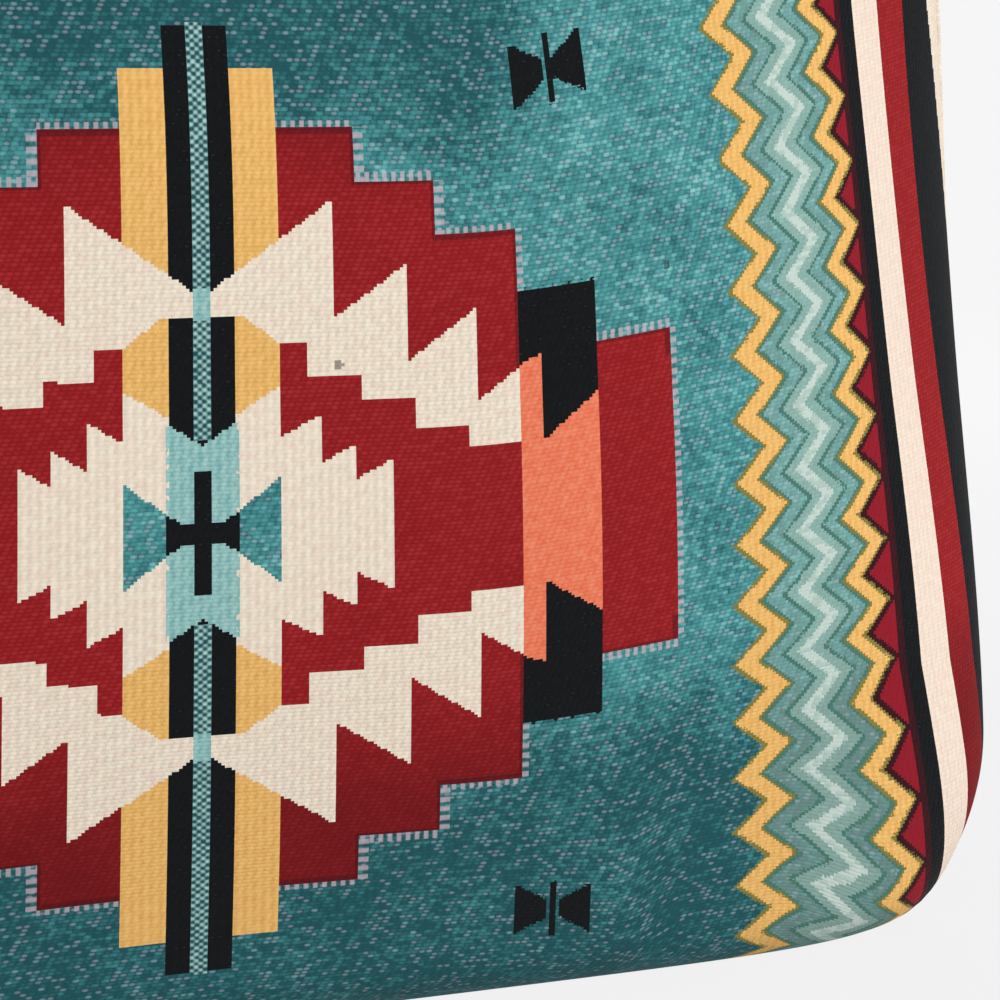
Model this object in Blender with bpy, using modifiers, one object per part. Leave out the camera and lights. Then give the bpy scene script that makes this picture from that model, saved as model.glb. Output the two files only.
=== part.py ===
"""A zipped crossbody bag of jacquard cloth, standing on its base, with its webbing strap laid down behind it.

Metres, +Z up. The origin is the middle of the base. The front faces -Y and the zip runs along X.
"""

import math

import bmesh
import bpy
import numpy as np
from mathutils import Matrix, Vector

MM = 0.001
GAP = 0.3 * MM  # clearance between neighbouring pieces

# Bag body: overall sizes, cloth thicknesses and the stations of its form, as pairs of height and size.
# The stations are measured on a bag of STATION_SIZES and scale with the bag's own width, depth and height.
BAG_WIDTH = 292.8 * MM
BAG_DEPTH = 95 * MM
BAG_HEIGHT = 226 * MM
STATION_SIZES = (292.8 * MM, 95 * MM, 226 * MM)
CLOTH = 1.4 * MM
LINING_CLOTH = 0.6 * MM
LINING_INSET = 2.3 * MM
LIP_HEIGHT = 8 * MM  # the upright edge beside the zip
LINING_DROP = 16 * MM  # the lining's edge lies this far below the zip's edge
HALF_WIDTH = ((0, 148.5), (50, 146), (100, 142.4), (150, 137.9), (185, 134.6), (226, 133))
HALF_DEPTH = ((0, 34.5), (45, 42.3), (100, 47.5), (150, 46.5), (175, 38.5), (195, 24.5), (212, 9.5), (218, 7.5), (226, 7.5))
FACE_POWER = ((0, 7.1), (100, 3.6), (205, 2.24), (226, 2.24))  # high is a flat face, 2 is a round one
SIDE_POWER = ((0, 3.1), (100, 1.4), (205, 1.0), (226, 1.0))  # high is a square side, 1 is a sharp one
CORNER_INSET = 15.9 * MM  # how far the lower corners are cut in
CORNER_HEIGHT = 36 * MM
SIDE_TURN = 6 * MM  # radius where the sides turn under
FRONT_TURN = 12 * MM  # radius where the front and back turn under
SEAM_POWER = 40  # how sharply the two panels close at the side seam
BASE_BOARD = 2 * MM
BASE_INSET = 0.9 * MM  # the base panel's edge lies this far inside the panels' lower edge

# Zip
ZIP_MOUTH = 7.5 * MM  # half the width between the outer faces of the zip's edges
TAB_MOUTH = 3.9 * MM  # the same where the strap tabs are caught
MOUTH_END = 88 * MM  # half the length of the zip's mouth
MOUTH_EASE = 8 * MM  # length over which the mouth narrows
TAPE = 0.7 * MM
TAPE_DROP = 2 * MM  # the tape's top below the zip's edge
TAPE_LEG = 14 * MM  # the part of the tape sewn down inside the panel
ROW_GAP = 0.7 * MM  # half the gap between the two rows, which the slider's post runs in
COIL_WIDTH = 2.1 * MM
COIL_HEIGHT = 2 * MM
COIL_END = 82 * MM
STOP_LENGTH = 2.4 * MM
SLIDER_LENGTH = 10 * MM
SLIDER_WIDTH = 7.6 * MM
SLIDER_PLATE = 1.2 * MM
POST_WIDTH = 0.7 * MM
POST_LENGTH = 3 * MM
BRIDGE_WIRE = 1.1 * MM
BRIDGE_SPAN = 5.4 * MM
PULLER_LENGTH = 18 * MM
PULLER_WIDTH = 7 * MM
PULLER_THICKNESS = 1.1 * MM
PULLER_BAR = 1.1 * MM
PULLER_WINDOW = 3.4 * MM

# Strap, tabs and rings
STRAP_WIDTH = 25 * MM
STRAP_THICKNESS = 1.4 * MM
TAB_CLOTH = 1.2 * MM
TAB_PLACE = 113 * MM
TAB_TAIL = 13 * MM  # the tab's length inside the seam
RING_WIRE = 1.6 * MM  # radius
RING_INNER_WIDTH = 26 * MM
RING_PITCH = 15 * MM  # between the centres of its two bars
RING_RISE = 8 * MM  # the upper bar's height above the zip's edge
RING_FALL_DEG = 34  # how far below level the ring lies back
SEWN_END = 26 * MM
SLIDE_TOP = 104 * MM  # height of the strap slide's upper bar
SLIDE_PITCHES = (9.5 * MM, 8.5 * MM)  # upper bar to middle bar, middle bar to lower bar
SLIDE_WIRE = 1.2 * MM
TAIL_LENGTH = 64 * MM
KEEPER_DROP = 40 * MM  # from the slide's lower bar to the keeper's middle
KEEPER_HEIGHT = 9 * MM
KEEPER_WALL = 1.6 * MM
KEEPER_TRAVEL = 9 * MM

# The strap's fall behind the bag, as depth and height, and its way over the floor as x, y and turn on edge
FALL = ((25.6, 199.0), (41.2, 174.0), (48.9, 155.0), (51.0, 138.0), (51.2, 118.0))
LANDING = ((51.2, 30.0), (52.6, 15.0), (58.5, 5.5), (68.0, 1.7), (80.0, 1.3))
FLOOR = (
    (-113, 80, 0), (-113, 98, 8), (-110, 116, 35), (-98, 131, 72), (-75, 139, 90), (-40, 141, 90), (0, 139, 90),
    (40, 136, 90), (64, 138, 90), (77, 147, 90), (76, 160, 90), (62, 167, 90), (36, 167, 90), (0, 169, 90),
    (-34, 172, 90), (-52, 178, 90), (-57, 189, 90), (-47, 199, 90), (-22, 203, 90), (15, 202, 90), (54, 198, 90),
    (84, 188, 88), (104, 169, 76), (113, 146, 52), (115, 122, 26), (113, 100, 6), (113, 80, 0),
)
FLOOR_PLACES = (113 * MM, 204 * MM)  # the outermost x and y of the way over the floor above
LAY_DEPTH = 204 * MM  # how far behind the bag's middle the laid strap reaches
SECTION_STEP = 8 * MM
FLOOR_CLEARANCE = 0.6 * MM


def clear_scene():
    for item in list(bpy.data.objects):
        bpy.data.objects.remove(item, do_unlink=True)


def collection(name):
    made = bpy.data.collections.new(name)
    bpy.context.scene.collection.children.link(made)
    return made


clear_scene()
BAG = collection("crossbody_bag")
CUTTERS = collection("cutters")


def material(name, colour, roughness, metallic=0.0):
    made = bpy.data.materials.new(name)
    made.use_nodes = True
    shader = made.node_tree.nodes["Principled BSDF"]
    shader.inputs["Base Color"].default_value = (*colour, 1)
    shader.inputs["Roughness"].default_value = roughness
    shader.inputs["Metallic"].default_value = metallic
    return made


def add(name, mesh, finish, home=None):
    item = bpy.data.objects.new(name, mesh)
    (home or BAG).objects.link(item)
    if finish:
        mesh.materials.append(finish)
    return item


def mesh_from(name, points, faces):
    mesh = bpy.data.meshes.new(name)
    mesh.from_pydata([tuple(p) for p in points], [], faces)
    mesh.update()
    return mesh


def smooth_through(stations, at, scale=1.0):
    """A smooth curve through the stations: cubic pieces whose slopes follow the neighbours."""
    known = np.array(stations, float) * MM
    height, size = known[:, 0] * BAG_HEIGHT / STATION_SIZES[2], known[:, 1] * scale
    slope = np.gradient(size, height)
    at = np.clip(at, height[0], height[-1])
    i = np.clip(np.searchsorted(height, at, side="right") - 1, 0, len(height) - 2)
    step = height[i + 1] - height[i]
    u = (at - height[i]) / step
    return (
        size[i] * (1 + 2 * u) * (1 - u) ** 2
        + slope[i] * step * u * (1 - u) ** 2
        + size[i + 1] * u * u * (3 - 2 * u)
        + slope[i + 1] * step * u * u * (u - 1)
    )


def turn_under(height, radius):
    """How far a side is drawn in where it turns under with this radius."""
    fall = np.clip(1 - height / radius, 0, 1)
    return radius * (1 - np.sqrt(1 - fall * fall))


def ease(value):
    value = np.clip(value, 0, 1)
    return value * value * (3 - 2 * value)


def half_width(height):
    corner = CORNER_INSET * np.clip(1 - height / CORNER_HEIGHT, 0, 1) ** 2
    return smooth_through(HALF_WIDTH, height, BAG_WIDTH / STATION_SIZES[0]) - corner - turn_under(height, SIDE_TURN)


def depth_at(ratio, height, inset=0.0):
    """Depth of the cloth's outer face at a share of the half width: a seam edge, the mouth's lip and the belly."""
    lip = ease((height - (BAG_HEIGHT - 4.5 * LIP_HEIGHT)) / (2.5 * LIP_HEIGHT))
    along = np.abs(ratio) * half_width(height)
    mouth = (ZIP_MOUTH - TAB_MOUTH) * lip * ease((MOUTH_END + MOUTH_EASE - along) / MOUTH_EASE)
    form = smooth_through(HALF_DEPTH, height, BAG_DEPTH / STATION_SIZES[1])
    belly = form - TAB_MOUTH - (ZIP_MOUTH - TAB_MOUTH) * lip
    belly = np.maximum(belly - turn_under(height, FRONT_TURN), 0)
    face, side = smooth_through(FACE_POWER, height) / MM, smooth_through(SIDE_POWER, height) / MM
    swell = np.clip(1 - np.abs(ratio) ** face, 0, 1) ** (1 / side)
    seam = 1 - np.abs(ratio) ** SEAM_POWER
    return (TAB_MOUTH - inset) * seam + mouth + belly * swell


def rim_ratios(count):
    """Shares of the half width from one side seam to the other, closer together at the seams."""
    return np.sin(np.linspace(-math.pi / 2, math.pi / 2, count + 1))


def loop_points(height, count, inset=0.0):
    """One level of the bag: along the front from left to right and back along the back."""
    ratio = rim_ratios(count)
    x = ratio * (half_width(height) - inset)
    depth = depth_at(ratio, height, inset)
    depth = np.maximum(depth - inset * (depth > inset), 0)
    front = np.stack([x, -depth, np.full_like(x, height)], 1)
    back = front[::-1] * (1, -1, 1)
    return np.concatenate([front[:-1], back[:-1]])


def heights_between(low, high, count):
    """Levels from the base up: closer together through the turn at the bottom."""
    turn = low + FRONT_TURN * (1 - np.cos(np.linspace(0, math.pi / 2, 5)))
    upper = np.linspace(low + FRONT_TURN, high, count)[1:]
    return np.concatenate([turn, upper])


def sleeve(levels, count, inset=0.0, closed_base=False):
    """A tube of cloth: one loop of points at each level, joined by four-sided faces."""
    points = np.concatenate([loop_points(z, count, inset) for z in levels])
    around = 2 * count
    faces = []
    for row in range(len(levels) - 1):
        for k in range(around):
            a, b = row * around + k, row * around + (k + 1) % around
            faces.append((a, b, b + around, a + around))
    if closed_base:
        faces.append(tuple(range(around))[::-1])
    return points, faces


def solidified(item, thickness, offset=-1.0):
    wall = item.modifiers.new("wall", "SOLIDIFY")
    wall.thickness = thickness
    wall.offset = offset
    return item


def box_cutter(name, low, high):
    corner, far = Vector(low), Vector(high)
    mesh = bpy.data.meshes.new(name)
    shape = bmesh.new()
    bmesh.ops.create_cube(shape, size=1)
    shape.to_mesh(mesh)
    shape.free()
    size = far - corner
    mesh.transform(Matrix.Translation((corner + far) / 2) @ Matrix.Diagonal((*size, 1)))
    item = add(name, mesh, None, CUTTERS)
    item.hide_render = True
    item.display_type = "WIRE"
    return item


def boolean(item, cutter, operation):
    cut = item.modifiers.new(cutter.name, "BOOLEAN")
    cut.operation = operation
    cut.object = cutter
    cut.solver = "EXACT"


def smooth(item, angle_deg=35):
    item.data.shade_smooth()
    item.data.set_sharp_from_angle(angle=math.radians(angle_deg))
    return item


# Bag body

JACQUARD_COLOUR = (0.10, 0.27, 0.28)


def panels():
    cloth = material("jacquard_front", JACQUARD_COLOUR, 0.9)
    behind = material("jacquard_back", JACQUARD_COLOUR, 0.9)
    levels = heights_between(0, BAG_HEIGHT, 15)
    reach = 0.3
    for name, finish, low, high in (
        ("front_panel", cloth, -reach, -GAP / 2),
        ("back_panel", behind, GAP / 2, reach),
    ):
        points, faces = sleeve(levels, 26)
        panel = smooth(solidified(add(name, mesh_from(name, points, faces), finish), CLOTH))
        boolean(panel, box_cutter(f"{name}_side", (-reach, low, -reach), (reach, high, reach)), "INTERSECT")


def flat_from_loop(name, level_outline, inset, low, thickness, finish):
    """A flat board that follows the bag's outline at a level, drawn in by an inset."""
    outline = loop_points(level_outline, 18, 0.0)[:, :2]
    half = np.abs(outline).max(0)
    outline = outline * (half - inset) / half
    curve = bpy.data.curves.new(name, "CURVE")
    curve.dimensions = "2D"
    curve.fill_mode = "BOTH"
    curve.extrude = thickness / 2
    line = curve.splines.new("POLY")
    line.points.add(len(outline) - 1)
    for point, (x, y) in zip(line.points, outline):
        point.co = (x, y, 0, 1)
    line.use_cyclic_u = True
    item = bpy.data.objects.new(name, curve)
    BAG.objects.link(item)
    curve.materials.append(finish)
    item.location.z = low + thickness / 2
    return item


def base_and_lining():
    flat_from_loop("base_panel", 0.0, BASE_INSET, 0, CLOTH, material("base_cloth", (0.02, 0.02, 0.022), 0.8))
    board_low = CLOTH + GAP
    flat_from_loop("base_board", 0.0, 2 * CLOTH, board_low, BASE_BOARD, material("board", (0.30, 0.22, 0.14), 0.9))
    floor = board_low + BASE_BOARD + GAP
    levels = np.concatenate([[floor], np.linspace(FRONT_TURN, BAG_HEIGHT - LINING_DROP, 11)])
    points, faces = sleeve(levels, 18, LINING_INSET, closed_base=True)
    lining = add("lining", mesh_from("lining", points, faces), material("lining_cloth", (0.05, 0.045, 0.04), 0.9))
    smooth(solidified(lining, LINING_CLOTH))


# Zip

PLAIN_X = Matrix(((0, 0, 1, 0), (1, 0, 0, 0), (0, 1, 0, 0), (0, 0, 0, 1)))  # outline in depth and height, run along X


def run_along_x(name, outline, start, end, finish):
    """A straight length with this outline in depth and height."""
    curve = bpy.data.curves.new(name, "CURVE")
    curve.dimensions = "2D"
    curve.fill_mode = "BOTH"
    curve.extrude = (end - start) / 2
    line = curve.splines.new("POLY")
    line.points.add(len(outline) - 1)
    for point, (y, z) in zip(line.points, outline):
        point.co = (y, z, 0, 1)
    line.use_cyclic_u = True
    item = bpy.data.objects.new(name, curve)
    BAG.objects.link(item)
    curve.materials.append(finish)
    item.matrix_world = Matrix.Translation(((start + end) / 2, 0, 0)) @ PLAIN_X
    return item


TAPE_TOP = BAG_HEIGHT - TAPE_DROP
COIL_LOW = TAPE_TOP + GAP
COIL_TOP = COIL_LOW + COIL_HEIGHT
PLATE_LOW = COIL_TOP + GAP
PLATE_TOP = PLATE_LOW + SLIDER_PLATE
SLIDER_PLACE = COIL_END - STOP_LENGTH - 2 * GAP - SLIDER_LENGTH / 2
PULLER_AXIS = PLATE_TOP + GAP + PULLER_BAR / 2


def zip_rows():
    tape_finish = material("zip_tape_cloth", (0.015, 0.015, 0.017), 0.85)
    coil_finish = material("zip_coil_nylon", (0.02, 0.02, 0.022), 0.4)
    wall = ZIP_MOUTH - 1.15 * CLOTH - GAP  # outer face of the tape's sewn leg
    for name, side in (("front", -1), ("back", 1)):
        tape = [
            (ROW_GAP, TAPE_TOP), (wall, TAPE_TOP), (wall, TAPE_TOP - TAPE_LEG),
            (wall - TAPE, TAPE_TOP - TAPE_LEG), (wall - TAPE, TAPE_TOP - TAPE), (ROW_GAP, TAPE_TOP - TAPE),
        ]
        run_along_x(f"zip_tape_{name}", [(side * y, z) for y, z in tape], -MOUTH_END, MOUTH_END, tape_finish)
        arc = np.linspace(0, math.pi, 7)
        middle, half = ROW_GAP + COIL_WIDTH / 2, COIL_WIDTH / 2
        crown = [(middle + half * math.cos(a), COIL_LOW + COIL_HEIGHT * (0.45 + 0.55 * math.sin(a))) for a in arc]
        coil = [(middle + half, COIL_LOW), *crown, (middle - half, COIL_LOW)]
        reach = COIL_END - STOP_LENGTH - GAP
        run_along_x(f"zip_coil_{name}", [(side * y, z) for y, z in coil], -reach, reach, coil_finish)


def zip_stops():
    metal = material("zip_stop_metal", (0.55, 0.45, 0.28), 0.35, 1.0)
    low, high = COIL_LOW, COIL_TOP - GAP
    half = COIL_WIDTH + ROW_GAP
    for name, side in (("front", -1), ("back", 1)):
        outline = [(side * ROW_GAP, low), (side * half, low), (side * half, high), (side * ROW_GAP, high)]
        run_along_x(f"zip_top_stop_{name}", outline, COIL_END - STOP_LENGTH, COIL_END, metal)
    outline = [(-half, low), (half, low), (half, high), (-half, high)]
    run_along_x("zip_bottom_stop", outline, -COIL_END, STOP_LENGTH - COIL_END, metal)


def box(name, low, high, finish=None, bevel=0.0):
    item = box_cutter(name, low, high)
    CUTTERS.objects.unlink(item)
    BAG.objects.link(item)
    item.hide_render = False
    item.display_type = "TEXTURED"
    if finish:
        item.data.materials.append(finish)
    if bevel:
        edge = item.modifiers.new("edge", "BEVEL")
        edge.width = bevel
        edge.segments = 2
    return item


def as_cutter(item):
    BAG.objects.unlink(item)
    CUTTERS.objects.link(item)
    item.hide_render = True
    item.display_type = "WIRE"
    return item


def centred_on(item, place):
    """The item's origin is put at a place, with its shape left where it is."""
    item.data.transform(Matrix.Translation(-Vector(place)))
    item.location = place
    return item


def zip_slider():
    metal = material("slider_metal", (0.55, 0.45, 0.28), 0.3, 1.0)
    x, half, wide = SLIDER_PLACE, SLIDER_LENGTH / 2, SLIDER_WIDTH / 2
    under_top = TAPE_TOP - TAPE - GAP
    slider = box("zip_slider", (x - half, -wide, PLATE_LOW), (x + half, wide, PLATE_TOP), metal, 0.35 * MM)
    lower = box("slider_lower", (x - half, -wide, under_top - SLIDER_PLATE), (x + half, wide, under_top), None, 0.35 * MM)
    lap = SLIDER_PLATE / 2
    post_end = x + half - 1 * MM
    post = box("slider_post", (post_end - POST_LENGTH, -POST_WIDTH / 2, under_top - lap), (post_end, POST_WIDTH / 2, PLATE_LOW + lap))
    boolean(slider, as_cutter(post), "UNION")
    boolean(slider, as_cutter(lower), "UNION")
    span, rise = BRIDGE_SPAN / 2, PULLER_BAR + 2.6 * GAP + BRIDGE_WIRE
    width = 1.5 * MM
    bridge = box("slider_bridge", (x - span, -width / 2, PLATE_TOP - lap), (x + span, width / 2, PLATE_TOP + rise), None, 0.25 * MM)
    window = (span - BRIDGE_WIRE, width, rise - BRIDGE_WIRE)
    hole = box_cutter("bridge_window", (x - window[0], -window[1], PLATE_TOP), (x + window[0], window[1], PLATE_TOP + window[2]))
    boolean(slider, as_cutter(bridge), "UNION")
    boolean(slider, hole, "DIFFERENCE")
    centred_on(slider, (x, 0, 0))
    return slider


def zip_puller():
    """A flat tab with a window at one end, whose end bar lies under the slider's bridge."""
    metal = material("puller_metal", (0.55, 0.45, 0.28), 0.3, 1.0)
    x, half = SLIDER_PLACE, PULLER_WIDTH / 2
    far = x + PULLER_BAR / 2 - PULLER_LENGTH
    low = PULLER_AXIS - PULLER_THICKNESS / 2
    puller = box("zip_puller", (far, -half, low), (x + PULLER_BAR / 2, half, low + PULLER_THICKNESS), metal)
    window_end = x - PULLER_BAR / 2
    window = box_cutter(
        "puller_window",
        (window_end - PULLER_WINDOW, -half + 1.4 * MM, low - MM),
        (window_end, half - 1.4 * MM, low + 2 * MM),
    )
    boolean(puller, window, "DIFFERENCE")
    eye = box_cutter("puller_eye", (far + 1.6 * MM, -1.3 * MM, low - MM), (far + 6.5 * MM, 1.3 * MM, low + 2 * MM))
    boolean(puller, eye, "DIFFERENCE")
    return centred_on(puller, (x, 0, PULLER_AXIS))


# Strap, tabs and rings

WEBBING_COLOUR = (0.02, 0.02, 0.022)


def ribbon(name, centres, across, thickness, width, finish):
    """Webbing along a path: at each centre a four-cornered section, with its width laid along `across`."""
    centres, across = np.array(centres, float), np.array(across, float)
    ahead = np.gradient(centres, axis=0)
    ahead /= np.linalg.norm(ahead, axis=1, keepdims=True)
    across = across - (across * ahead).sum(1, keepdims=True) * ahead
    across /= np.linalg.norm(across, axis=1, keepdims=True)
    normal = np.cross(ahead, across)
    corners = []
    for a, b in ((1, 1), (-1, 1), (-1, -1), (1, -1)):
        corners.append(centres + a * across * width / 2 + b * normal * thickness / 2)
    points = np.stack(corners, 1).reshape(-1, 3)
    faces = [(3, 2, 1, 0)]
    for k in range(len(centres) - 1):
        for j in range(4):
            a, b = 4 * k + j, 4 * k + (j + 1) % 4
            faces.append((a, b, b + 4, a + 4))
    end = 4 * (len(centres) - 1)
    faces.append((end, end + 1, end + 2, end + 3))
    return add(name, mesh_from(name, points, faces), finish)


def spline(points, step):
    """Evenly spaced points on a smooth curve through the given points, with Catmull-Rom pieces."""
    points = np.array(points, float)
    padded = np.concatenate([[2 * points[0] - points[1]], points, [2 * points[-1] - points[-2]]])
    fine = []
    for k in range(len(points) - 1):
        p0, p1, p2, p3 = padded[k : k + 4]
        u = np.linspace(0, 1, 24, endpoint=False)[:, None]
        fine.append(
            0.5 * (2 * p1 + (p2 - p0) * u + (2 * p0 - 5 * p1 + 4 * p2 - p3) * u**2 + (3 * p1 - p0 - 3 * p2 + p3) * u**3)
        )
    fine = np.concatenate([*fine, points[-1:]])
    run = np.concatenate([[0], np.cumsum(np.linalg.norm(np.diff(fine[:, :2], axis=0), axis=1))])
    count = max(2, int(round(run[-1] / step)) + 1)
    even = np.linspace(0, run[-1], count)
    return np.stack([np.interp(even, run, fine[:, j]) for j in range(fine.shape[1])], 1)


def turn_about(centre, start_deg, end_deg, radius, count=9):
    """Points round a bar in depth and height; degrees from +Y towards +Z."""
    angles = np.radians(np.linspace(start_deg, end_deg, count))
    return [(centre[0] + radius * math.cos(a), centre[1] + radius * math.sin(a)) for a in angles]


def in_depth(path, x):
    """Points of depth and height placed at x."""
    return [(x, y, z) for y, z in path]


UPPER_BAR = (0.0, BAG_HEIGHT + RING_RISE)
FALL_ANGLE = math.radians(RING_FALL_DEG)
LOWER_BAR = (RING_PITCH * math.cos(FALL_ANGLE), UPPER_BAR[1] - RING_PITCH * math.sin(FALL_ANGLE))
LOOP_RADIUS = RING_WIRE + GAP + STRAP_THICKNESS / 2
TALL = BAG_HEIGHT / STATION_SIZES[2]
DEEP = (BAG_DEPTH - STATION_SIZES[1]) / 2
FALL_POINTS = [(y * MM + DEEP, z * MM * TALL) for y, z in FALL]


def ring_finish(name):
    return material(name, (0.55, 0.45, 0.28), 0.3, 1.0)


def rectangle_wire(name, half_across, half_long, radius, corner, finish):
    """A closed wire rectangle in local X and Y with round corners."""
    curve = bpy.data.curves.new(name, "CURVE")
    curve.dimensions = "3D"
    curve.bevel_depth = radius
    curve.bevel_resolution = 1
    points = []
    for sx, sy, first in ((1, 1, 0), (-1, 1, 90), (-1, -1, 180), (1, -1, 270)):
        for a in np.radians(np.linspace(first, first + 90, 4)):
            points.append((sx * (half_across - corner) + corner * math.cos(a), sy * (half_long - corner) + corner * math.sin(a), 0))
    line = curve.splines.new("POLY")
    line.points.add(len(points) - 1)
    for point, place in zip(line.points, points):
        point.co = (*place, 1)
    line.use_cyclic_u = True
    item = bpy.data.objects.new(name, curve)
    BAG.objects.link(item)
    curve.materials.append(finish)
    return item


def rings_and_tabs():
    for name, side in (("left", -1), ("right", 1)):
        x = side * TAB_PLACE
        ring = rectangle_wire(
            f"ring_{name}", RING_INNER_WIDTH / 2 + RING_WIRE, RING_PITCH / 2, RING_WIRE, 2.2 * MM, ring_finish(f"ring_{name}_metal")
        )
        ring.data.transform(Matrix.Translation((0, RING_PITCH / 2, 0)))
        ring.location = (x, *UPPER_BAR)
        ring.rotation_euler = (-FALL_ANGLE, 0, 0)
        radius = RING_WIRE + GAP + TAB_CLOTH / 2
        ply = (TAB_CLOTH + GAP) / 2
        top = UPPER_BAR[1]
        low = BAG_HEIGHT - TAB_TAIL
        neck = BAG_HEIGHT + MM
        path = [(-ply, low), (-ply, (low + neck) / 2), (-ply, neck), (-ply - 0.6 * MM, neck + 2.2 * MM)]
        path += turn_about((0, top), 200, -20, radius, 9)
        path += [(ply + 0.6 * MM, neck + 2.2 * MM), (ply, neck), (ply, (low + neck) / 2), (ply, low)]
        centres = in_depth(path, x)
        webbing = material(f"tab_{name}_webbing", WEBBING_COLOUR, 0.85)
        ribbon(f"strap_tab_{name}", centres, [(1, 0, 0)] * len(centres), TAB_CLOTH, STRAP_WIDTH, webbing)


def leaving(bar, radius, target):
    """The way, in degrees from +Y towards +Z, of the line to the target that touches the near side of a bar."""
    way = math.atan2(target[1] - bar[1], target[0] - bar[0])
    return math.degrees(way + math.asin(radius / math.dist(bar, target)))


PLY = STRAP_THICKNESS + GAP
STRAP_LINE = FALL_POINTS[-1][0]  # depth of the strap where it hangs straight
BAR_RADIUS = SLIDE_WIRE + GAP + STRAP_THICKNESS / 2
SLIDE_DEPTH = STRAP_LINE + BAR_RADIUS
SLIDE_BARS = (SLIDE_TOP, SLIDE_TOP - SLIDE_PITCHES[0], SLIDE_TOP - sum(SLIDE_PITCHES))


def fall_from_ring(step=7 * MM):
    """The strap's end folded round the ring's lower bar, in depth and height.

    The free end lies one ply outside the main ply, then comes the turn round the bar and the way down the back.
    """
    leave = leaving(LOWER_BAR, LOOP_RADIUS, FALL_POINTS[0])
    turn = turn_about(LOWER_BAR, leave + 90, leave + 270, LOOP_RADIUS, 9)
    fall = spline([turn[-1], *FALL_POINTS], step)
    run = np.concatenate([[0], np.cumsum(np.linalg.norm(np.diff(fall, axis=0), axis=1))])
    ahead = np.gradient(fall, run, axis=0)
    outside = fall + PLY * np.stack([-ahead[:, 1], ahead[:, 0]], 1)
    back = np.array([SEWN_END, 0.72 * SEWN_END, 0.45 * SEWN_END])
    lead = [(np.interp(b, run, outside[:, 0]), np.interp(b, run, outside[:, 1])) for b in back]
    return [*lead, *turn, *[tuple(p) for p in fall[1:]]]


def strap_short():
    top = fall_from_ring()
    bar = (SLIDE_DEPTH, SLIDE_BARS[0])
    end = turn_about(bar, 180, 360, BAR_RADIUS, 9)
    near = STRAP_LINE + PLY
    up = [(SLIDE_DEPTH + 0.45 * BAR_RADIUS, bar[1] + 4 * MM), (near, bar[1] + 8 * MM)]
    path = in_depth([*top[:-1], (STRAP_LINE, bar[1] + 6 * MM), *end, *up, (near, bar[1] + SEWN_END * 0.9)][:], -TAB_PLACE)
    path = without_near(path)
    ribbon("strap_short", path, [(1, 0, 0)] * len(path), STRAP_THICKNESS, STRAP_WIDTH, material("strap_short_webbing", WEBBING_COLOUR, 0.85))


def without_near(path, least=0.35 * MM):
    """Drops a point that lies on the one before it."""
    kept = [path[0]]
    for point in path[1:]:
        if math.dist(point, kept[-1]) > least:
            kept.append(point)
    return kept


def strap_long():
    """From its free tail through the slide, down to the floor, over the floor in folds, and up to the right ring."""
    tail_low = SLIDE_BARS[2] - TAIL_LENGTH + 10 * MM
    near = STRAP_LINE + PLY
    middle = (SLIDE_DEPTH, SLIDE_BARS[1])
    outer = SLIDE_DEPTH + BAR_RADIUS
    tail = [(near, tail_low), (near, tail_low + 18 * MM), (near, SLIDE_BARS[2] - 12 * MM), (near + 0.8 * MM, SLIDE_BARS[2] - 7 * MM), (outer, SLIDE_BARS[2] - MM), (outer, SLIDE_BARS[2] + 4 * MM)]
    round_bar = turn_about(middle, 0, 180, BAR_RADIUS, 9)
    landing = [(y * MM + DEEP, z * MM) for y, z in LANDING]
    down = spline([round_bar[-1], (STRAP_LINE, SLIDE_BARS[2]), (STRAP_LINE, 55 * MM), *landing], 7 * MM)
    left = in_depth([*tail, *round_bar, *[tuple(p) for p in down[1:-1]]], -TAB_PLACE)
    landing_depth = landing[-1][0]
    side, lay = TAB_PLACE / FLOOR_PLACES[0], (LAY_DEPTH - landing_depth) / (FLOOR_PLACES[1] - landing_depth)
    way = [(x * MM * side, landing_depth + (y * MM - landing_depth) * lay, turn) for x, y, turn in FLOOR]
    floor = spline(way, SECTION_STEP)
    turn = np.radians(floor[:, 2])
    height = FLOOR_CLEARANCE + STRAP_WIDTH / 2 * np.sin(turn) + STRAP_THICKNESS / 2 * np.cos(turn)
    ground = np.stack([floor[:, 0], floor[:, 1], height], 1)
    ahead = np.gradient(ground[:, :2], axis=0)
    ahead /= np.linalg.norm(ahead, axis=1, keepdims=True)
    level = np.stack([ahead[:, 1], -ahead[:, 0], np.zeros(len(ahead))], 1)
    across = level * np.cos(turn)[:, None] + np.array([0, 0, 1]) * np.sin(turn)[:, None]
    climb = spline([landing[-1], *landing[-2::-1], (STRAP_LINE, 60 * MM), (STRAP_LINE, 90 * MM)], 7 * MM)
    right_top = fall_from_ring()[::-1]
    right = in_depth([*[tuple(p) for p in climb[1:]], *right_top], TAB_PLACE)
    centres = [*left, *[tuple(p) for p in ground], *right]
    widths = [*[(1, 0, 0)] * len(left), *[tuple(a) for a in across], *[(-1, 0, 0)] * len(right)]
    ribbon("strap_long", centres, widths, STRAP_THICKNESS, STRAP_WIDTH, material("strap_long_webbing", WEBBING_COLOUR, 0.85))


def mesh_of(item):
    """The item's shape as a mesh object, with its loose caps welded."""
    shape = bpy.data.meshes.new_from_object(item.evaluated_get(bpy.context.evaluated_depsgraph_get()))
    work = bmesh.new()
    work.from_mesh(shape)
    bmesh.ops.remove_doubles(work, verts=work.verts, dist=1e-6)
    work.to_mesh(shape)
    work.free()
    place, name = item.matrix_world.copy(), item.name
    bpy.data.objects.remove(item, do_unlink=True)
    made = bpy.data.objects.new(name, shape)
    BAG.objects.link(made)
    made.matrix_world = place
    return made


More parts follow.
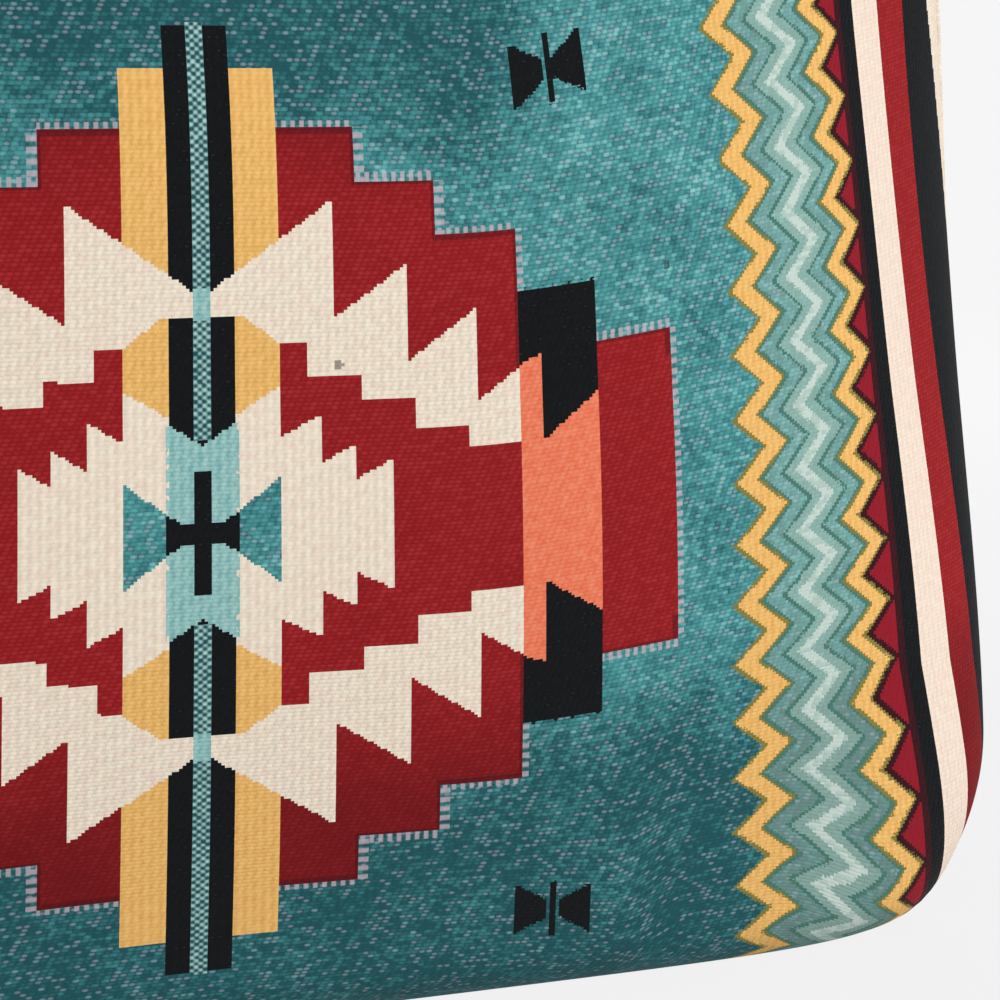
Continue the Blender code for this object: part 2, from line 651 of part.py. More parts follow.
def strap_slide():
    metal = ring_finish("strap_slide_metal")
    half = (SLIDE_BARS[0] - SLIDE_BARS[2]) / 2
    frame = rectangle_wire("strap_slide", RING_INNER_WIDTH / 2 + SLIDE_WIRE, half, SLIDE_WIRE, 1.9 * MM, metal)
    frame.location = (-TAB_PLACE, SLIDE_DEPTH, SLIDE_BARS[2] + half)
    frame.rotation_euler = (math.pi / 2, 0, 0)
    bpy.context.view_layer.update()
    frame = mesh_of(frame)
    reach = RING_INNER_WIDTH / 2 + SLIDE_WIRE
    bar = bpy.data.meshes.new("slide_middle_bar")
    shape = bmesh.new()
    bmesh.ops.create_cone(shape, cap_ends=True, segments=8, radius1=SLIDE_WIRE, radius2=SLIDE_WIRE, depth=2 * reach)
    shape.to_mesh(bar)
    shape.free()
    bar.transform(Matrix.Translation((-TAB_PLACE, SLIDE_DEPTH, SLIDE_BARS[1])) @ Matrix.Rotation(math.pi / 2, 4, "Y"))
    boolean(frame, as_cutter(add("slide_middle_bar", bar, None)), "UNION")


def strap_keeper():
    """A closed band round the strap and its tail."""
    leather = material("keeper_leather", (0.03, 0.02, 0.015), 0.5)
    middle = SLIDE_BARS[2] - KEEPER_DROP
    plies = 2 * STRAP_THICKNESS + GAP
    y = STRAP_LINE + PLY / 2
    wide, deep = STRAP_WIDTH / 2 + GAP, plies / 2 + GAP
    keeper = box(
        "strap_keeper",
        (-TAB_PLACE - wide - KEEPER_WALL, y - deep - KEEPER_WALL, middle - KEEPER_HEIGHT / 2),
        (-TAB_PLACE + wide + KEEPER_WALL, y + deep + KEEPER_WALL, middle + KEEPER_HEIGHT / 2),
        leather,
        0.5 * MM,
    )
    hole = box_cutter("keeper_hole", (-TAB_PLACE - wide, y - deep, middle - KEEPER_HEIGHT), (-TAB_PLACE + wide, y + deep, middle + KEEPER_HEIGHT))
    boolean(keeper, hole, "DIFFERENCE")
    centred_on(keeper, (-TAB_PLACE, y, middle))


panels()
base_and_lining()
zip_rows()
zip_stops()
zip_slider()
zip_puller()
rings_and_tabs()
strap_short()
strap_long()
strap_slide()
strap_keeper()
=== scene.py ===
"""The looks of a zipped crossbody bag of jacquard cloth with a webbing strap.

Metres, +Z up, the front faces -Y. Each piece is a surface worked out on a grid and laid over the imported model.
"""

import math

import bpy
import numpy as np
from mathutils import Matrix, Vector


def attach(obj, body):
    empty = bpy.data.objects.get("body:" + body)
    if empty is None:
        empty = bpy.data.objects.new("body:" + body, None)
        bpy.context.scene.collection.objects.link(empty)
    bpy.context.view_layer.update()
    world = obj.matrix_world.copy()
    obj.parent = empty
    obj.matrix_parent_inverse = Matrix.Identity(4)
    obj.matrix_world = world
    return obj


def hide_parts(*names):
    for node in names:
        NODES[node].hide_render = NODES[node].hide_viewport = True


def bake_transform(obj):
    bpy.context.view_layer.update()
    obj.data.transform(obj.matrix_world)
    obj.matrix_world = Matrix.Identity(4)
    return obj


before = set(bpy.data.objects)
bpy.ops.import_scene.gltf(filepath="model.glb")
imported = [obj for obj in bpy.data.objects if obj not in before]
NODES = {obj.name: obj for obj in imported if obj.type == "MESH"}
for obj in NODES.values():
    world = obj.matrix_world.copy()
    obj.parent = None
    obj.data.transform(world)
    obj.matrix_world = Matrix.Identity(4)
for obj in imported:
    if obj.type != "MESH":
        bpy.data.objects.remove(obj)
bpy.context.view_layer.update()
MM = 0.001
GAP = 0.3 * MM

# The bag's form, as in its solids: pairs of height and size in millimetres
BAG_HEIGHT = 226 * MM
HALF_WIDTH = ((0, 148.5), (50, 146), (100, 142.4), (150, 137.9), (185, 134.6), (226, 133))
HALF_DEPTH = ((0, 34.5), (45, 42.3), (100, 47.5), (150, 46.5), (175, 38.5), (195, 24.5), (212, 9.5), (218, 7.5), (226, 7.5))
FACE_POWER = ((0, 7.1), (100, 3.6), (205, 2.24), (226, 2.24))
SIDE_POWER = ((0, 3.1), (100, 1.4), (205, 1.0), (226, 1.0))
CORNER_INSET, CORNER_HEIGHT = 15.9 * MM, 36 * MM
SIDE_TURN, FRONT_TURN = 6 * MM, 12 * MM
SEAM_POWER = 40
LIP_HEIGHT = 8 * MM
ZIP_MOUTH, TAB_MOUTH = 7.5 * MM, 3.9 * MM
MOUTH_END, MOUTH_EASE = 88 * MM, 8 * MM
CLOTH = 1.3 * MM

# Zip, strap and fittings, as in the solids
TAPE_TOP, TAPE_LEG, TAPE = 224 * MM, 14 * MM, 0.7 * MM
ROW_GAP, COIL_WIDTH, COIL_HEIGHT, COIL_END = 0.7 * MM, 2.1 * MM, 2.0 * MM, 79.3 * MM
STRAP_WIDTH, STRAP_THICKNESS = 25 * MM, 1.4 * MM
TAB_CLOTH, TAB_PLACE, TAB_TAIL = 1.2 * MM, 113 * MM, 13 * MM
RING_WIRE, RING_INNER_WIDTH, RING_PITCH = 1.6 * MM, 26 * MM, 15 * MM
RING_FALL = math.radians(34)
SEWN_END = 26 * MM
SLIDE_WIRE = 1.2 * MM
SLIDE_BARS = (104 * MM, 94.5 * MM, 86 * MM)
TAIL_LOW = 32 * MM
KEEPER_MIDDLE, KEEPER_HEIGHT, KEEPER_WALL = 46 * MM, 9 * MM, 1.6 * MM
FALL = ((25.6, 199.0), (41.2, 174.0), (48.9, 155.0), (51.0, 138.0), (51.2, 118.0))
LANDING = ((51.2, 30.0), (52.6, 15.0), (58.5, 5.5), (68.0, 1.7), (80.0, 1.3))
FLOOR_WAY = (
    (-113, 80, 0), (-113, 98, 8), (-110, 116, 35), (-98, 131, 72), (-75, 139, 90), (-40, 141, 90), (0, 139, 90),
    (40, 136, 90), (64, 138, 90), (77, 147, 90), (76, 160, 90), (62, 167, 90), (36, 167, 90), (0, 169, 90),
    (-34, 172, 90), (-52, 178, 90), (-57, 189, 90), (-47, 199, 90), (-22, 203, 90), (15, 202, 90), (54, 198, 90),
    (84, 188, 88), (104, 169, 76), (113, 146, 52), (115, 122, 26), (113, 100, 6), (113, 80, 0),
)
FLOOR_CLEARANCE = 0.6 * MM


# Camera, as fitted to the photograph


def camera():
    azimuth, elevation, roll = (math.radians(a) for a in (17.98, 12.117, 0.648))
    target = Vector((59.218, 0, 76.837)) * MM
    ahead = Vector((math.sin(azimuth) * math.cos(elevation), math.cos(azimuth) * math.cos(elevation), -math.sin(elevation)))
    right = Vector((math.cos(azimuth), -math.sin(azimuth), 0))
    up = right.cross(ahead)
    turned = math.cos(roll) * right + math.sin(roll) * up
    upright = -math.sin(roll) * right + math.cos(roll) * up
    data = bpy.data.cameras.new("camera")
    data.sensor_width = 36
    data.lens = 36 * 2347.08 / 1000
    data.clip_start = 0.01
    item = bpy.data.objects.new("camera", data)
    bpy.context.scene.collection.objects.link(item)
    place = target - 397.3 * MM * ahead
    axes = Matrix((turned, upright, -ahead)).transposed().to_4x4()
    item.matrix_world = Matrix.Translation(place) @ axes
    bpy.context.scene.camera = item


camera()


# Shader maths


class Value:
    """One socket of a material. Arithmetic on it adds Math nodes."""

    def __init__(self, graph, socket):
        self.graph, self.socket = graph, socket

    def maths(self, operation, *others):
        inputs = {0: self, **{n + 1: other for n, other in enumerate(others)}}
        return self.graph.node("ShaderNodeMath", {"operation": operation}, inputs)

    def __add__(self, other):
        return self.maths("ADD", other)

    __radd__ = __add__

    def __mul__(self, other):
        return self.maths("MULTIPLY", other)

    __rmul__ = __mul__

    def __sub__(self, other):
        return self.maths("SUBTRACT", other)

    def __rsub__(self, other):
        return self.graph.node("ShaderNodeMath", {"operation": "SUBTRACT"}, {0: other, 1: self})

    def __truediv__(self, other):
        return self.maths("DIVIDE", other)

    def __gt__(self, other):
        return self.maths("GREATER_THAN", other)

    def __lt__(self, other):
        return self.maths("LESS_THAN", other)

    def __abs__(self):
        return self.maths("ABSOLUTE")

    def wave(self, length):
        """A smooth wave from -1 to 1 with this length."""
        return (self * (2 * math.pi / length)).maths("SINE")

    def between(self, low, high):
        return (self > low) * (self < high)

    def least(self, other):
        return self.maths("MINIMUM", other)

    def most(self, other):
        return self.maths("MAXIMUM", other)

    def rise(self, low, high):
        """From 0 at low to 1 at high, smoothly."""
        inputs = {"Value": self, "From Min": low, "From Max": high}
        return self.graph.node("ShaderNodeMapRange", {"interpolation_type": "SMOOTHSTEP"}, inputs)


class Graph:
    """A material's nodes. node() adds any node, with its settings first and then its inputs."""

    def __init__(self, name):
        self.material = bpy.data.materials.new(name)
        self.material.use_nodes = True
        self.nodes = self.material.node_tree.nodes
        self.links = self.material.node_tree.links
        self.shader = self.nodes["Principled BSDF"]

    def node(self, kind, settings=None, inputs=None, output=0):
        made = self.nodes.new(kind)
        for key, value in (settings or {}).items():
            setattr(made, key, value)
        for key, value in (inputs or {}).items():
            self.put(made.inputs[key], value)
        return Value(self, made.outputs[output])

    def put(self, socket, value):
        if isinstance(value, Value):
            self.links.new(value.socket, socket)
        elif socket.type == "RGBA" and len(value) == 3:
            socket.default_value = (*value, 1)
        else:
            socket.default_value = value

    def mix(self, share, first, second):
        """A colour between two."""
        made = self.nodes.new("ShaderNodeMix")
        made.data_type = "RGBA"
        for index, value in ((0, share), (6, first), (7, second)):
            self.put(made.inputs[index], value)
        return Value(self, made.outputs[2])

    def place(self, name=None):
        """The three coordinates: a piece's own attribute in millimetres, or its place in metres."""
        if name:
            source = self.node("ShaderNodeAttribute", {"attribute_name": name}, output=1)
        else:
            source = self.node("ShaderNodeTexCoord", output=3)
        split = self.nodes.new("ShaderNodeSeparateXYZ")
        self.links.new(source.socket, split.inputs[0])
        return [Value(self, out) for out in split.outputs], source

    def point(self, x, y, z=0.0):
        return self.node("ShaderNodeCombineXYZ", None, {0: x, 1: y, 2: z})

    def noise(self, point, scale, detail=2.0, roughness=0.5):
        return self.node("ShaderNodeTexNoise", None, {"Vector": point, "Scale": scale, "Detail": detail, "Roughness": roughness})

    def scatter(self, point):
        """A chance value for each whole-numbered place."""
        return self.node("ShaderNodeTexWhiteNoise", {"noise_dimensions": "3D"}, {"Vector": point})

    def finish(self, colour, roughness, height=None, distance=0.0002, metallic=0.0, strength=1.0, **constant):
        self.put(self.shader.inputs["Base Color"], colour)
        self.put(self.shader.inputs["Roughness"], roughness)
        self.put(self.shader.inputs["Metallic"], metallic)
        if height is not None:
            bump = self.node("ShaderNodeBump", None, {"Strength": strength, "Distance": distance, "Height": height})
            self.put(self.shader.inputs["Normal"], bump)
        for name, value in constant.items():
            self.put(self.shader.inputs[name.replace("_", " ")], value)
        return self.material


def colour(red, green, blue):
    """A colour as seen, in steps of 255, turned into light."""
    seen = (c / 255 for c in (red, green, blue))
    return tuple(c / 12.92 if c <= 0.04045 else ((c + 0.055) / 1.055) ** 2.4 for c in seen)


TEAL_DARK, TEAL, TEAL_LIGHT = colour(30, 82, 88), colour(80, 154, 156), colour(150, 206, 202)
LILAC = colour(158, 166, 180)
RED, RED_LIGHT, RED_DARK = colour(142, 23, 27), colour(165, 45, 49), colour(82, 8, 15)
CREAM, CREAM_SHADE = colour(244, 232, 212), colour(224, 209, 190)
YELLOW, YELLOW_SHADE = colour(240, 192, 116), colour(223, 167, 90)
BLACK, BLACK_LIGHT = colour(11, 14, 17), colour(40, 48, 54)
ORANGE, ORANGE_LIGHT = colour(230, 110, 76), colour(238, 138, 106)
AQUA = colour(170, 208, 202)
MAROON, MAROON_DARK = colour(140, 24, 38), colour(52, 14, 22)
EDGE_DOT, WHITE = colour(206, 188, 196), colour(192, 208, 200)
GREEN, MINT = colour(72, 118, 106), colour(150, 180, 169)
OLIVE = colour(130, 122, 60)
EDGE_BROWN = colour(158, 126, 100)

# The woven pattern, in millimetres from its middle: a across, b up
STEPS = (22.9, 34.9, 47.4)  # outer sides of the red steps
STEP_TOPS = (57.3, 49.8, 41.9)
BAR = (1.35, 4.85)  # sides of the black bars
YELLOW_SIDE = 11.4
BLOCK = (47.4, 50.7, 59.8, 72.1)  # orange strip, orange middle, red block and its outer side
BLOCK_TOPS = (33.2, 24.3)  # black block, red block
STRIPES = (114.6, 118.2, 125.9, 134.2, 141.0)  # where the black, cream, red, black and cream stripes start
ZIGZAG_START, ZIGZAG_PERIOD, ZIGZAG_SWING, ZIGZAG_PHASE = 82.9, 9.65, 5.6, 7.95
ZIGZAG_DRIFT = (0.95, 150)  # how far the border wanders, and over what length
MOTIF_UPPER, MOTIF_LOWER = (54.6, 64.0), (52.8, 64.9)
KNOTS = ((19.9, 23.9), (72.3, 33.2))
THREAD = (0.5, 0.45)  # width and height of one woven point
BEAD = (1.1, 0.62)  # width and height of one stitch
RIB = 1.33  # from one upright rib of the pale yarn to the next
TWILL = 0.79  # how far each row of stitches steps aside


def red_steps(a, b):
    """Inside the stepped red field, or inside the red block beside it."""
    tops = STEP_TOPS[0] - (a > STEPS[0]) * (STEP_TOPS[0] - STEP_TOPS[1]) - (a > STEPS[1]) * (STEP_TOPS[1] - STEP_TOPS[2])
    field = (a < STEPS[2]) * (b < tops)
    return field.most(a.between(BLOCK[2], BLOCK[3]) * (b < BLOCK_TOPS[1]))


def jacquard(name):
    """Colours of the woven pattern: each region is a test on the distances a and b from the middle of the motif."""
    g = Graph(name)
    (across, up, raised), _ = g.place("cloth")
    u = (across / THREAD[0]).maths("ROUND") * THREAD[0]
    v = (up / THREAD[1]).maths("ROUND") * THREAD[1]
    a, b = abs(u), abs(v)

    # Stitches: twill rows of small beads, each with a chance shade
    row = (up / BEAD[1]).maths("FLOOR")
    leaning = (across + row * TWILL) / BEAD[0]
    column = leaning.maths("FLOOR")
    cell = g.scatter(g.point(column, row))
    other = g.scatter(g.point(row, column, 3.0))
    x, y = leaning - column - 0.5, up / BEAD[1] - row - 0.5
    bead = 1 - x * x * 2.6 - y * y * 2.6
    flat = g.point(across, up)
    fleck = g.noise(flat, 0.75, 3.0, 0.6)
    cloud = g.noise(flat, 0.06, 3.0, 0.6)
    rib = across.wave(RIB)

    # Painted shade: the yarn is darker towards the foot and at the upper left, where the cloth turns from the light;
    # through tone it darkens the teal, and it darkens the red
    foot = (0 - up).rise(20.0, 52.0)
    head = up.rise(42.0, 72.0) * (up * 0.35 - across + 38).rise(0.0, 20.0)
    painted_shade = foot.most(head)
    tone = cell * 0.27 + fleck * 0.55 + bead * 0.2 + cloud * 0.5 - painted_shade * 0.32 + 0.205

    teal = g.mix(tone.rise(0.55, 1.2), TEAL_DARK, TEAL)
    teal = g.mix((tone + other * 0.1).rise(1.05, 1.5), teal, TEAL_LIGHT)
    teal = g.mix((other > 0.8) * bead.rise(0.3, 1.0) * 0.45, teal, LILAC)
    red = g.mix((bead * 0.5 + cell * 0.35 + fleck * 0.4).rise(0.45, 1.2), RED, RED_LIGHT)
    # Painted shade, with a random cloud: the red darkens towards RED_DARK at the foot and upper left
    red = g.mix((painted_shade * 0.55 + (cloud - 0.5) * 0.5).most(0.0), red, RED_DARK)
    ribs = (rib * 0.12 + fleck + bead * 0.25).rise(0.2, 1.0)
    cream = g.mix(ribs, CREAM_SHADE, CREAM)
    cream = g.mix((other > 0.72) * 0.25, cream, colour(236, 200, 188))
    yellow = g.mix(ribs, YELLOW_SHADE, YELLOW)
    orange = g.mix((fleck + bead * 0.2).rise(0.35, 0.9), ORANGE, ORANGE_LIGHT)
    aqua = g.mix(ribs * 0.6 + 0.27, TEAL, AQUA)
    black = g.mix((cell * bead).rise(0.7, 1.0) * 0.6, BLACK, BLACK_LIGHT)

    # Red steps with a dark inner line and a row of pale stitches outside
    reds = red_steps(a, b)
    inner = red_steps(a + 0.7, b + 0.7)
    above = red_steps(a, b - 1.1) * (across.wave(1.35) * 0.5 + 0.5).rise(0.2, 0.8)
    beside = red_steps(a - 1.1, b) * (up.wave(1.55) * 0.5 + 0.5).rise(0.1, 0.8)
    shade = g.mix(above.most(beside) * 0.6, teal, EDGE_DOT)
    shade = g.mix(reds, shade, red)
    shade = g.mix(reds * (1 - inner) * (b > 20) * 0.5, shade, MAROON_DARK)
    shade = g.mix(a.between(BLOCK[0], BLOCK[2]) * (b < BLOCK_TOPS[0] + (fleck - 0.5) * 1.6), shade, black)
    strip = a.between(BLOCK[0], BLOCK[1]) * (b < 22.4 + (a - BLOCK[0]) * 0.35)
    middle = a.between(BLOCK[1], BLOCK[2]) * (b < 10.7 + (a - BLOCK[1]) * 0.68)
    shade = g.mix(strip.most(middle), shade, orange)

    # Upright bars
    shade = g.mix((a < YELLOW_SIDE) * (b < 65.4), shade, yellow)
    shade = g.mix((a < BAR[1]) * (b < 71.25), shade, black)

    # The weave is drawn in a little on the left of the middle
    left = (u < -YELLOW_SIDE) * (0 - v).rise(-40.0, -10.0)
    p = a + left * ((a - YELLOW_SIDE) * 0.125).least((BLOCK[0] - a) * 0.11).most(0.0)
    q = abs(v - left * ((a - 8) * 0.075).least((BLOCK[0] - a) * 0.08).most(0.0))

    # Serrated arms: a line that drops at each tooth, over a flight of steps
    teeth = 37.4 + (p - BAR[1]) * 0.69 - (p > 19.4) * 16.8 - (p > 30.0) * 14.05 - (p > 40.8) * 13.7
    flight = 27.0 - (p > 15.4) * 4.6 - (p > 23.2) * 3.7 - (p > 31.3) * 4.4 - (p > 39.4) * 3.4
    lower = flight.most((31.9 - (p - 5.1) * 0.76) * (p < YELLOW_SIDE)).least(31.35)
    shade = g.mix((p < BLOCK[0]) * (q > lower) * (q < teeth), shade, cream)

    # Core: a serrated diamond with an upright column, a cross and two teal wedges
    saw = 13.8 + (p - 11.6) * 0.52 - (p > 17.0) * 7.1 - (p > 22.2) * 5.2
    near = 17.3 + (p - 5.1) * 0.62
    heart = p.between(YELLOW_SIDE, 27.6) * (q < saw)
    heart = heart.most(a.between(BAR[1], YELLOW_SIDE) * (b < near))
    shade = g.mix(heart, shade, cream)
    shade = g.mix((a < 5.1 + (fleck - 0.5) * 1.4) * (b < 13.8 + (a - BAR[0]) * 0.65), shade, aqua)
    strand = g.mix((up.wave(1.15) * across.wave(1.3) * 0.4 + fleck).rise(0.2, 1.0), TEAL_DARK, AQUA)
    shade = g.mix((a < BAR[0]) * b.between(13.8, 72.0), shade, strand)
    shade = g.mix((a < BAR[0]) * b.between(31.0, 35.2), shade, aqua)
    shade = g.mix(a.between(5.1, YELLOW_SIDE) * (b < 3.05 + (a - 5.1) * 0.8), shade, teal)
    waist = (a * 0.65 - 0.28).most(1.65)
    cross = ((a < 5.2) * (b < waist)).most((a < BAR[0]) * (b < 9.4))
    shade = g.mix(cross, shade, black)

    # Small motif between the middle and the border: two flared wings and a thin bar, leaning at the upper one
    high = v > 0
    c = abs(a - MOTIF_LOWER[0] - high * (MOTIF_UPPER[0] - MOTIF_LOWER[0]))
    lean = (a - MOTIF_UPPER[0]) * high * 0.12
    d = abs(b - MOTIF_LOWER[1] - high * (MOTIF_UPPER[1] - MOTIF_LOWER[1]) - lean) + (fleck - 0.5) * 1.2
    wings = c.between(0.8, 6.2) * (d < 1.5 + (c - 0.8) * 0.6)
    shade = g.mix(wings.most((c < 0.5) * (d < 5.0)), shade, black)
    for across_knot, up_knot in KNOTS:
        spot = (u - across_knot) * (u - across_knot) + (v - up_knot) * (v - up_knot)
        shade = g.mix((spot + fleck * 0.6 < 0.75) * 0.6, shade, BLACK)

    # Zigzag border: parallel bands that swing to and fro with the height
    swing = (v - ZIGZAG_PHASE).maths("PINGPONG", ZIGZAG_PERIOD / 2) * (2 * ZIGZAG_SWING / ZIGZAG_PERIOD)
    drift = v.wave(ZIGZAG_DRIFT[1]) * ZIGZAG_DRIFT[0]
    e = a - ZIGZAG_START - drift - swing + (fleck - 0.5) * 0.7
    border = (e > -0.6) * (a < STRIPES[0])
    soft, misty = g.mix(0.4, teal, MINT), g.mix(0.7, teal, MINT)
    white = g.mix((other > 0.6) * 0.5, WHITE, MINT)
    bands = (
        (-0.6, OLIVE), (0.3, yellow), (4.0, OLIVE), (4.6, GREEN), (5.4, soft), (8.4, GREEN), (9.3, misty), (11.4, white),
        (13.8, misty), (16.0, GREEN), (16.9, soft), (19.3, GREEN), (20.1, OLIVE), (20.8, yellow), (23.9, OLIVE),
        (24.6, MAROON_DARK), (26.0, MAROON),
    )
    for start, tint in bands:
        shade = g.mix(border * (e > start), shade, tint)
    shade = g.mix(border * (e > 26.0) * (a > STRIPES[0] - 1.6), shade, MAROON_DARK)

    # Side stripes
    seam = STRIPES[4] + (79 - v).rise(-12.0, 62.0) * 10.4
    shade = g.mix(a > STRIPES[0], shade, black)
    shade = g.mix(a > STRIPES[1], shade, g.mix(0.3, cream, colour(238, 206, 194)))
    shade = g.mix(a > STRIPES[2], shade, red)
    shade = g.mix(a > STRIPES[3], shade, black)
    shade = g.mix(a > seam, shade, cream)
    hem = 2.4 + (a.rise(84.0, 92.0) - a.rise(103.0, 110.0)) * 2.6
    shade = g.mix(raised < hem, shade, EDGE_BROWN)

    # Relief: the beads, with soft ribs where the ground is pale
    pale = (p < BLOCK[0]) * (1 - reds) + heart
    relief = bead * (0.6 - pale.least(1.0) * 0.35) + cell * 0.25 + rib * (0.06 + pale.least(1.0) * 0.12) + fleck * 0.3
    rough = 0.86 + cell * 0.1
    return g.finish(shade, rough, relief, 0.00022, strength=0.55, Sheen_Weight=0.03, Sheen_Roughness=0.5, Specular_IOR_Level=0.12)


def plain_weave(name, tone, light, pitch, rough=0.85, attribute=None):
    """Over-and-under threads: the product of two crossed waves, with chance shades."""
    g = Graph(name)
    (x, y, z), source = g.place(attribute)
    scale = 1.0 if attribute else 1 / MM
    x, y = (x + z * 0.37) * scale, (y + z) * scale
    one = x.wave(pitch) * y.wave(pitch)
    fine = g.noise(source, 0.9 * scale, 2.0)
    share = (one * 0.35 + fine).rise(0.3, 0.85)
    return g.finish(g.mix(share, tone, light), rough + fine * 0.1, one * 0.5 + fine * 0.5, 0.00018, Sheen_Weight=0.08)


def webbing(name, tone, light):
    """Herringbone webbing: chevrons from a wave whose phase leans one way and then the other across the width."""
    g = Graph(name)
    (along, across, _), source = g.place("cloth")
    folded = across.maths("PINGPONG", 3.1)
    chevron = (along + folded * 0.9).wave(1.25)
    rib = across.wave(0.78)
    fine = g.noise(g.point(along, across), 0.8, 2.0)
    share = (chevron * 0.28 + rib * 0.12 + fine).rise(0.3, 0.95)
    edge = (abs(across) > 11.6) * 0.5
    return g.finish(g.mix(share, tone, light), 0.8 + fine * 0.12, chevron * 0.5 + rib * 0.25 + fine * 0.3 + edge, 0.00022, Sheen_Weight=0.1)


def brass(name):
    """Antique brass: warm metal whose tone and gloss wander, with fine scratches."""
    g = Graph(name)
    _, source = g.place()
    wide, fine = g.noise(source, 130.0, 3.0), g.noise(source, 1400.0, 3.0, 0.7)
    tone = g.mix(wide.rise(0.35, 0.65), colour(126, 100, 62), colour(196, 168, 116))
    tone = g.mix((fine > 0.62) * 0.4, tone, colour(92, 72, 46))
    return g.finish(tone, 0.26 + wide * 0.22 + fine * 0.08, fine, 0.00003, metallic=1.0, strength=0.4)


def nylon(name):
    g = Graph(name)
    _, source = g.place()
    fine = g.noise(source, 900.0, 2.0)
    return g.finish(g.mix(fine, colour(16, 16, 18), colour(44, 44, 50)), 0.34 + fine * 0.2, fine, 0.00003, strength=0.5)


def leather(name):
    """Smooth dark leather: grain from small cells and a wandering tone."""
    g = Graph(name)
    _, source = g.place()
    grain = g.node("ShaderNodeTexVoronoi", {"feature": "DISTANCE_TO_EDGE"}, {"Vector": source, "Scale": 1100.0})
    wide = g.noise(source, 160.0, 3.0)
    tone = g.mix(wide.rise(0.3, 0.7), colour(34, 26, 22), colour(62, 48, 38))
    return g.finish(tone, 0.42 + wide * 0.2, grain.rise(0.0, 0.12) + wide * 0.3, 0.0001, strength=0.6)


def fibre_board(name):
    g = Graph(name)
    _, source = g.place()
    fine = g.noise(source, 500.0, 4.0, 0.7)
    return g.finish(g.mix(fine.rise(0.3, 0.7), colour(140, 122, 96), colour(182, 164, 134)), 0.9, fine, 0.0001)


def thread(name, tone):
    g = Graph(name)
    (x, y, z), source = g.place()
    ply = ((x + y + z) / MM).wave(0.55)
    fine = g.noise(source, 1500.0, 1.0)
    return g.finish(g.mix(fine, tone, colour(120, 112, 100)), 0.7 + fine * 0.1, ply, 0.00006)


# Surfaces


def grid_faces(rows, columns, closed_rows=False, closed_columns=False):
    """Four-sided faces over a grid of points, row by row; a closed direction joins its last line to its first."""
    r = np.arange(rows if closed_rows else rows - 1)
    c = np.arange(columns if closed_columns else columns - 1)
    r, c = np.meshgrid(r, c, indexing="ij")
    over, on = (r + 1) % rows, (c + 1) % columns
    return np.stack([r * columns + c, r * columns + on, over * columns + on, over * columns + c], -1).reshape(-1, 4)


def mesh_object(name, points, faces, finish, cloth=None, caps=()):
    mesh = bpy.data.meshes.new(name)
    mesh.from_pydata(np.asarray(points, float).reshape(-1, 3).tolist(), [], [*np.asarray(faces).tolist(), *caps])
    mesh.update()
    if cloth is not None:
        attribute = mesh.attributes.new("cloth", "FLOAT_VECTOR", "POINT")
        attribute.data.foreach_set("vector", np.asarray(cloth, np.float32).ravel())
    mesh.shade_smooth()
    mesh.materials.append(finish)
    item = bpy.data.objects.new(name, mesh)
    bpy.context.scene.collection.objects.link(item)
    return item


def belongs(item, body, slot, *replaced):
    """Rides the body, or none where the piece bends between two bodies."""
    if body:
        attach(item, body)
    if replaced:
        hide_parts(*replaced)
    return item


def smooth_through(stations, at):
    """A smooth curve through the stations: cubic pieces whose slopes follow the neighbours."""
    known = np.array(stations, float) * MM
    height, size = known[:, 0], known[:, 1]
    slope = np.gradient(size, height)
    at = np.clip(at, height[0], height[-1])
    i = np.clip(np.searchsorted(height, at, side="right") - 1, 0, len(height) - 2)
    step = height[i + 1] - height[i]
    u = (at - height[i]) / step
    value = size[i] * (1 + 2 * u) * (1 - u) ** 2 + slope[i] * step * u * (1 - u) ** 2
    return value + size[i + 1] * u * u * (3 - 2 * u) + slope[i + 1] * step * u * u * (u - 1)


def turn_under(height, radius):
    fall = np.clip(1 - height / radius, 0, 1)
    return radius * (1 - np.sqrt(1 - fall * fall))


def ease(value):
    value = np.clip(value, 0, 1)
    return value * value * (3 - 2 * value)


def half_width(height):
    corner = CORNER_INSET * np.clip(1 - height / CORNER_HEIGHT, 0, 1) ** 2
    return smooth_through(HALF_WIDTH, height) - corner - turn_under(height, SIDE_TURN)


def depth_at(ratio, height, inset=0.0):
    """Depth of the cloth's face: a seam edge, the mouth's lip and a belly of the form (1 - r^m)^(1/q)."""
    lip = ease((height - (BAG_HEIGHT - 4.5 * LIP_HEIGHT)) / (2.5 * LIP_HEIGHT))
    along = np.abs(ratio) * half_width(height)
    mouth = (ZIP_MOUTH - TAB_MOUTH) * lip * ease((MOUTH_END + MOUTH_EASE - along) / MOUTH_EASE)
    belly = smooth_through(HALF_DEPTH, height) - TAB_MOUTH - (ZIP_MOUTH - TAB_MOUTH) * lip
    belly = np.maximum(belly - turn_under(height, FRONT_TURN), 0)
    face, side = smooth_through(FACE_POWER, height) / MM, smooth_through(SIDE_POWER, height) / MM
    swell = np.clip(1 - np.abs(ratio) ** face, 0, 1) ** (1 / side)
    return (TAB_MOUTH - inset) * (1 - np.abs(ratio) ** SEAM_POWER) + mouth + belly * swell


def softness(x, z):
    """Soft unevenness of the full cloth, in metres: broad waves, and a shallow fold that runs down from the mouth."""
    fade = ease(z / (40 * MM)) * ease((BAG_HEIGHT - z) / (16 * MM)) * ease((1 - np.abs(x) / half_width(z)) * 9)
    broad = 0.7 * np.sin(x / (31 * MM) + 0.8) * np.sin(z / (36 * MM)) + 0.5 * np.sin(x / (17 * MM) - z / (41 * MM))
    lean = (x - (62 * MM + 0.32 * (z - 190 * MM))) / (9 * MM)
    fold = -2.2 * np.exp(-lean * lean) * ease((z - 138 * MM) / (50 * MM))
    other = (x + 70 * MM - 0.25 * (z - 190 * MM)) / (11 * MM)
    fold = fold - 1.6 * np.exp(-other * other) * ease((z - 150 * MM) / (45 * MM))
    return (broad + fold) * fade * MM


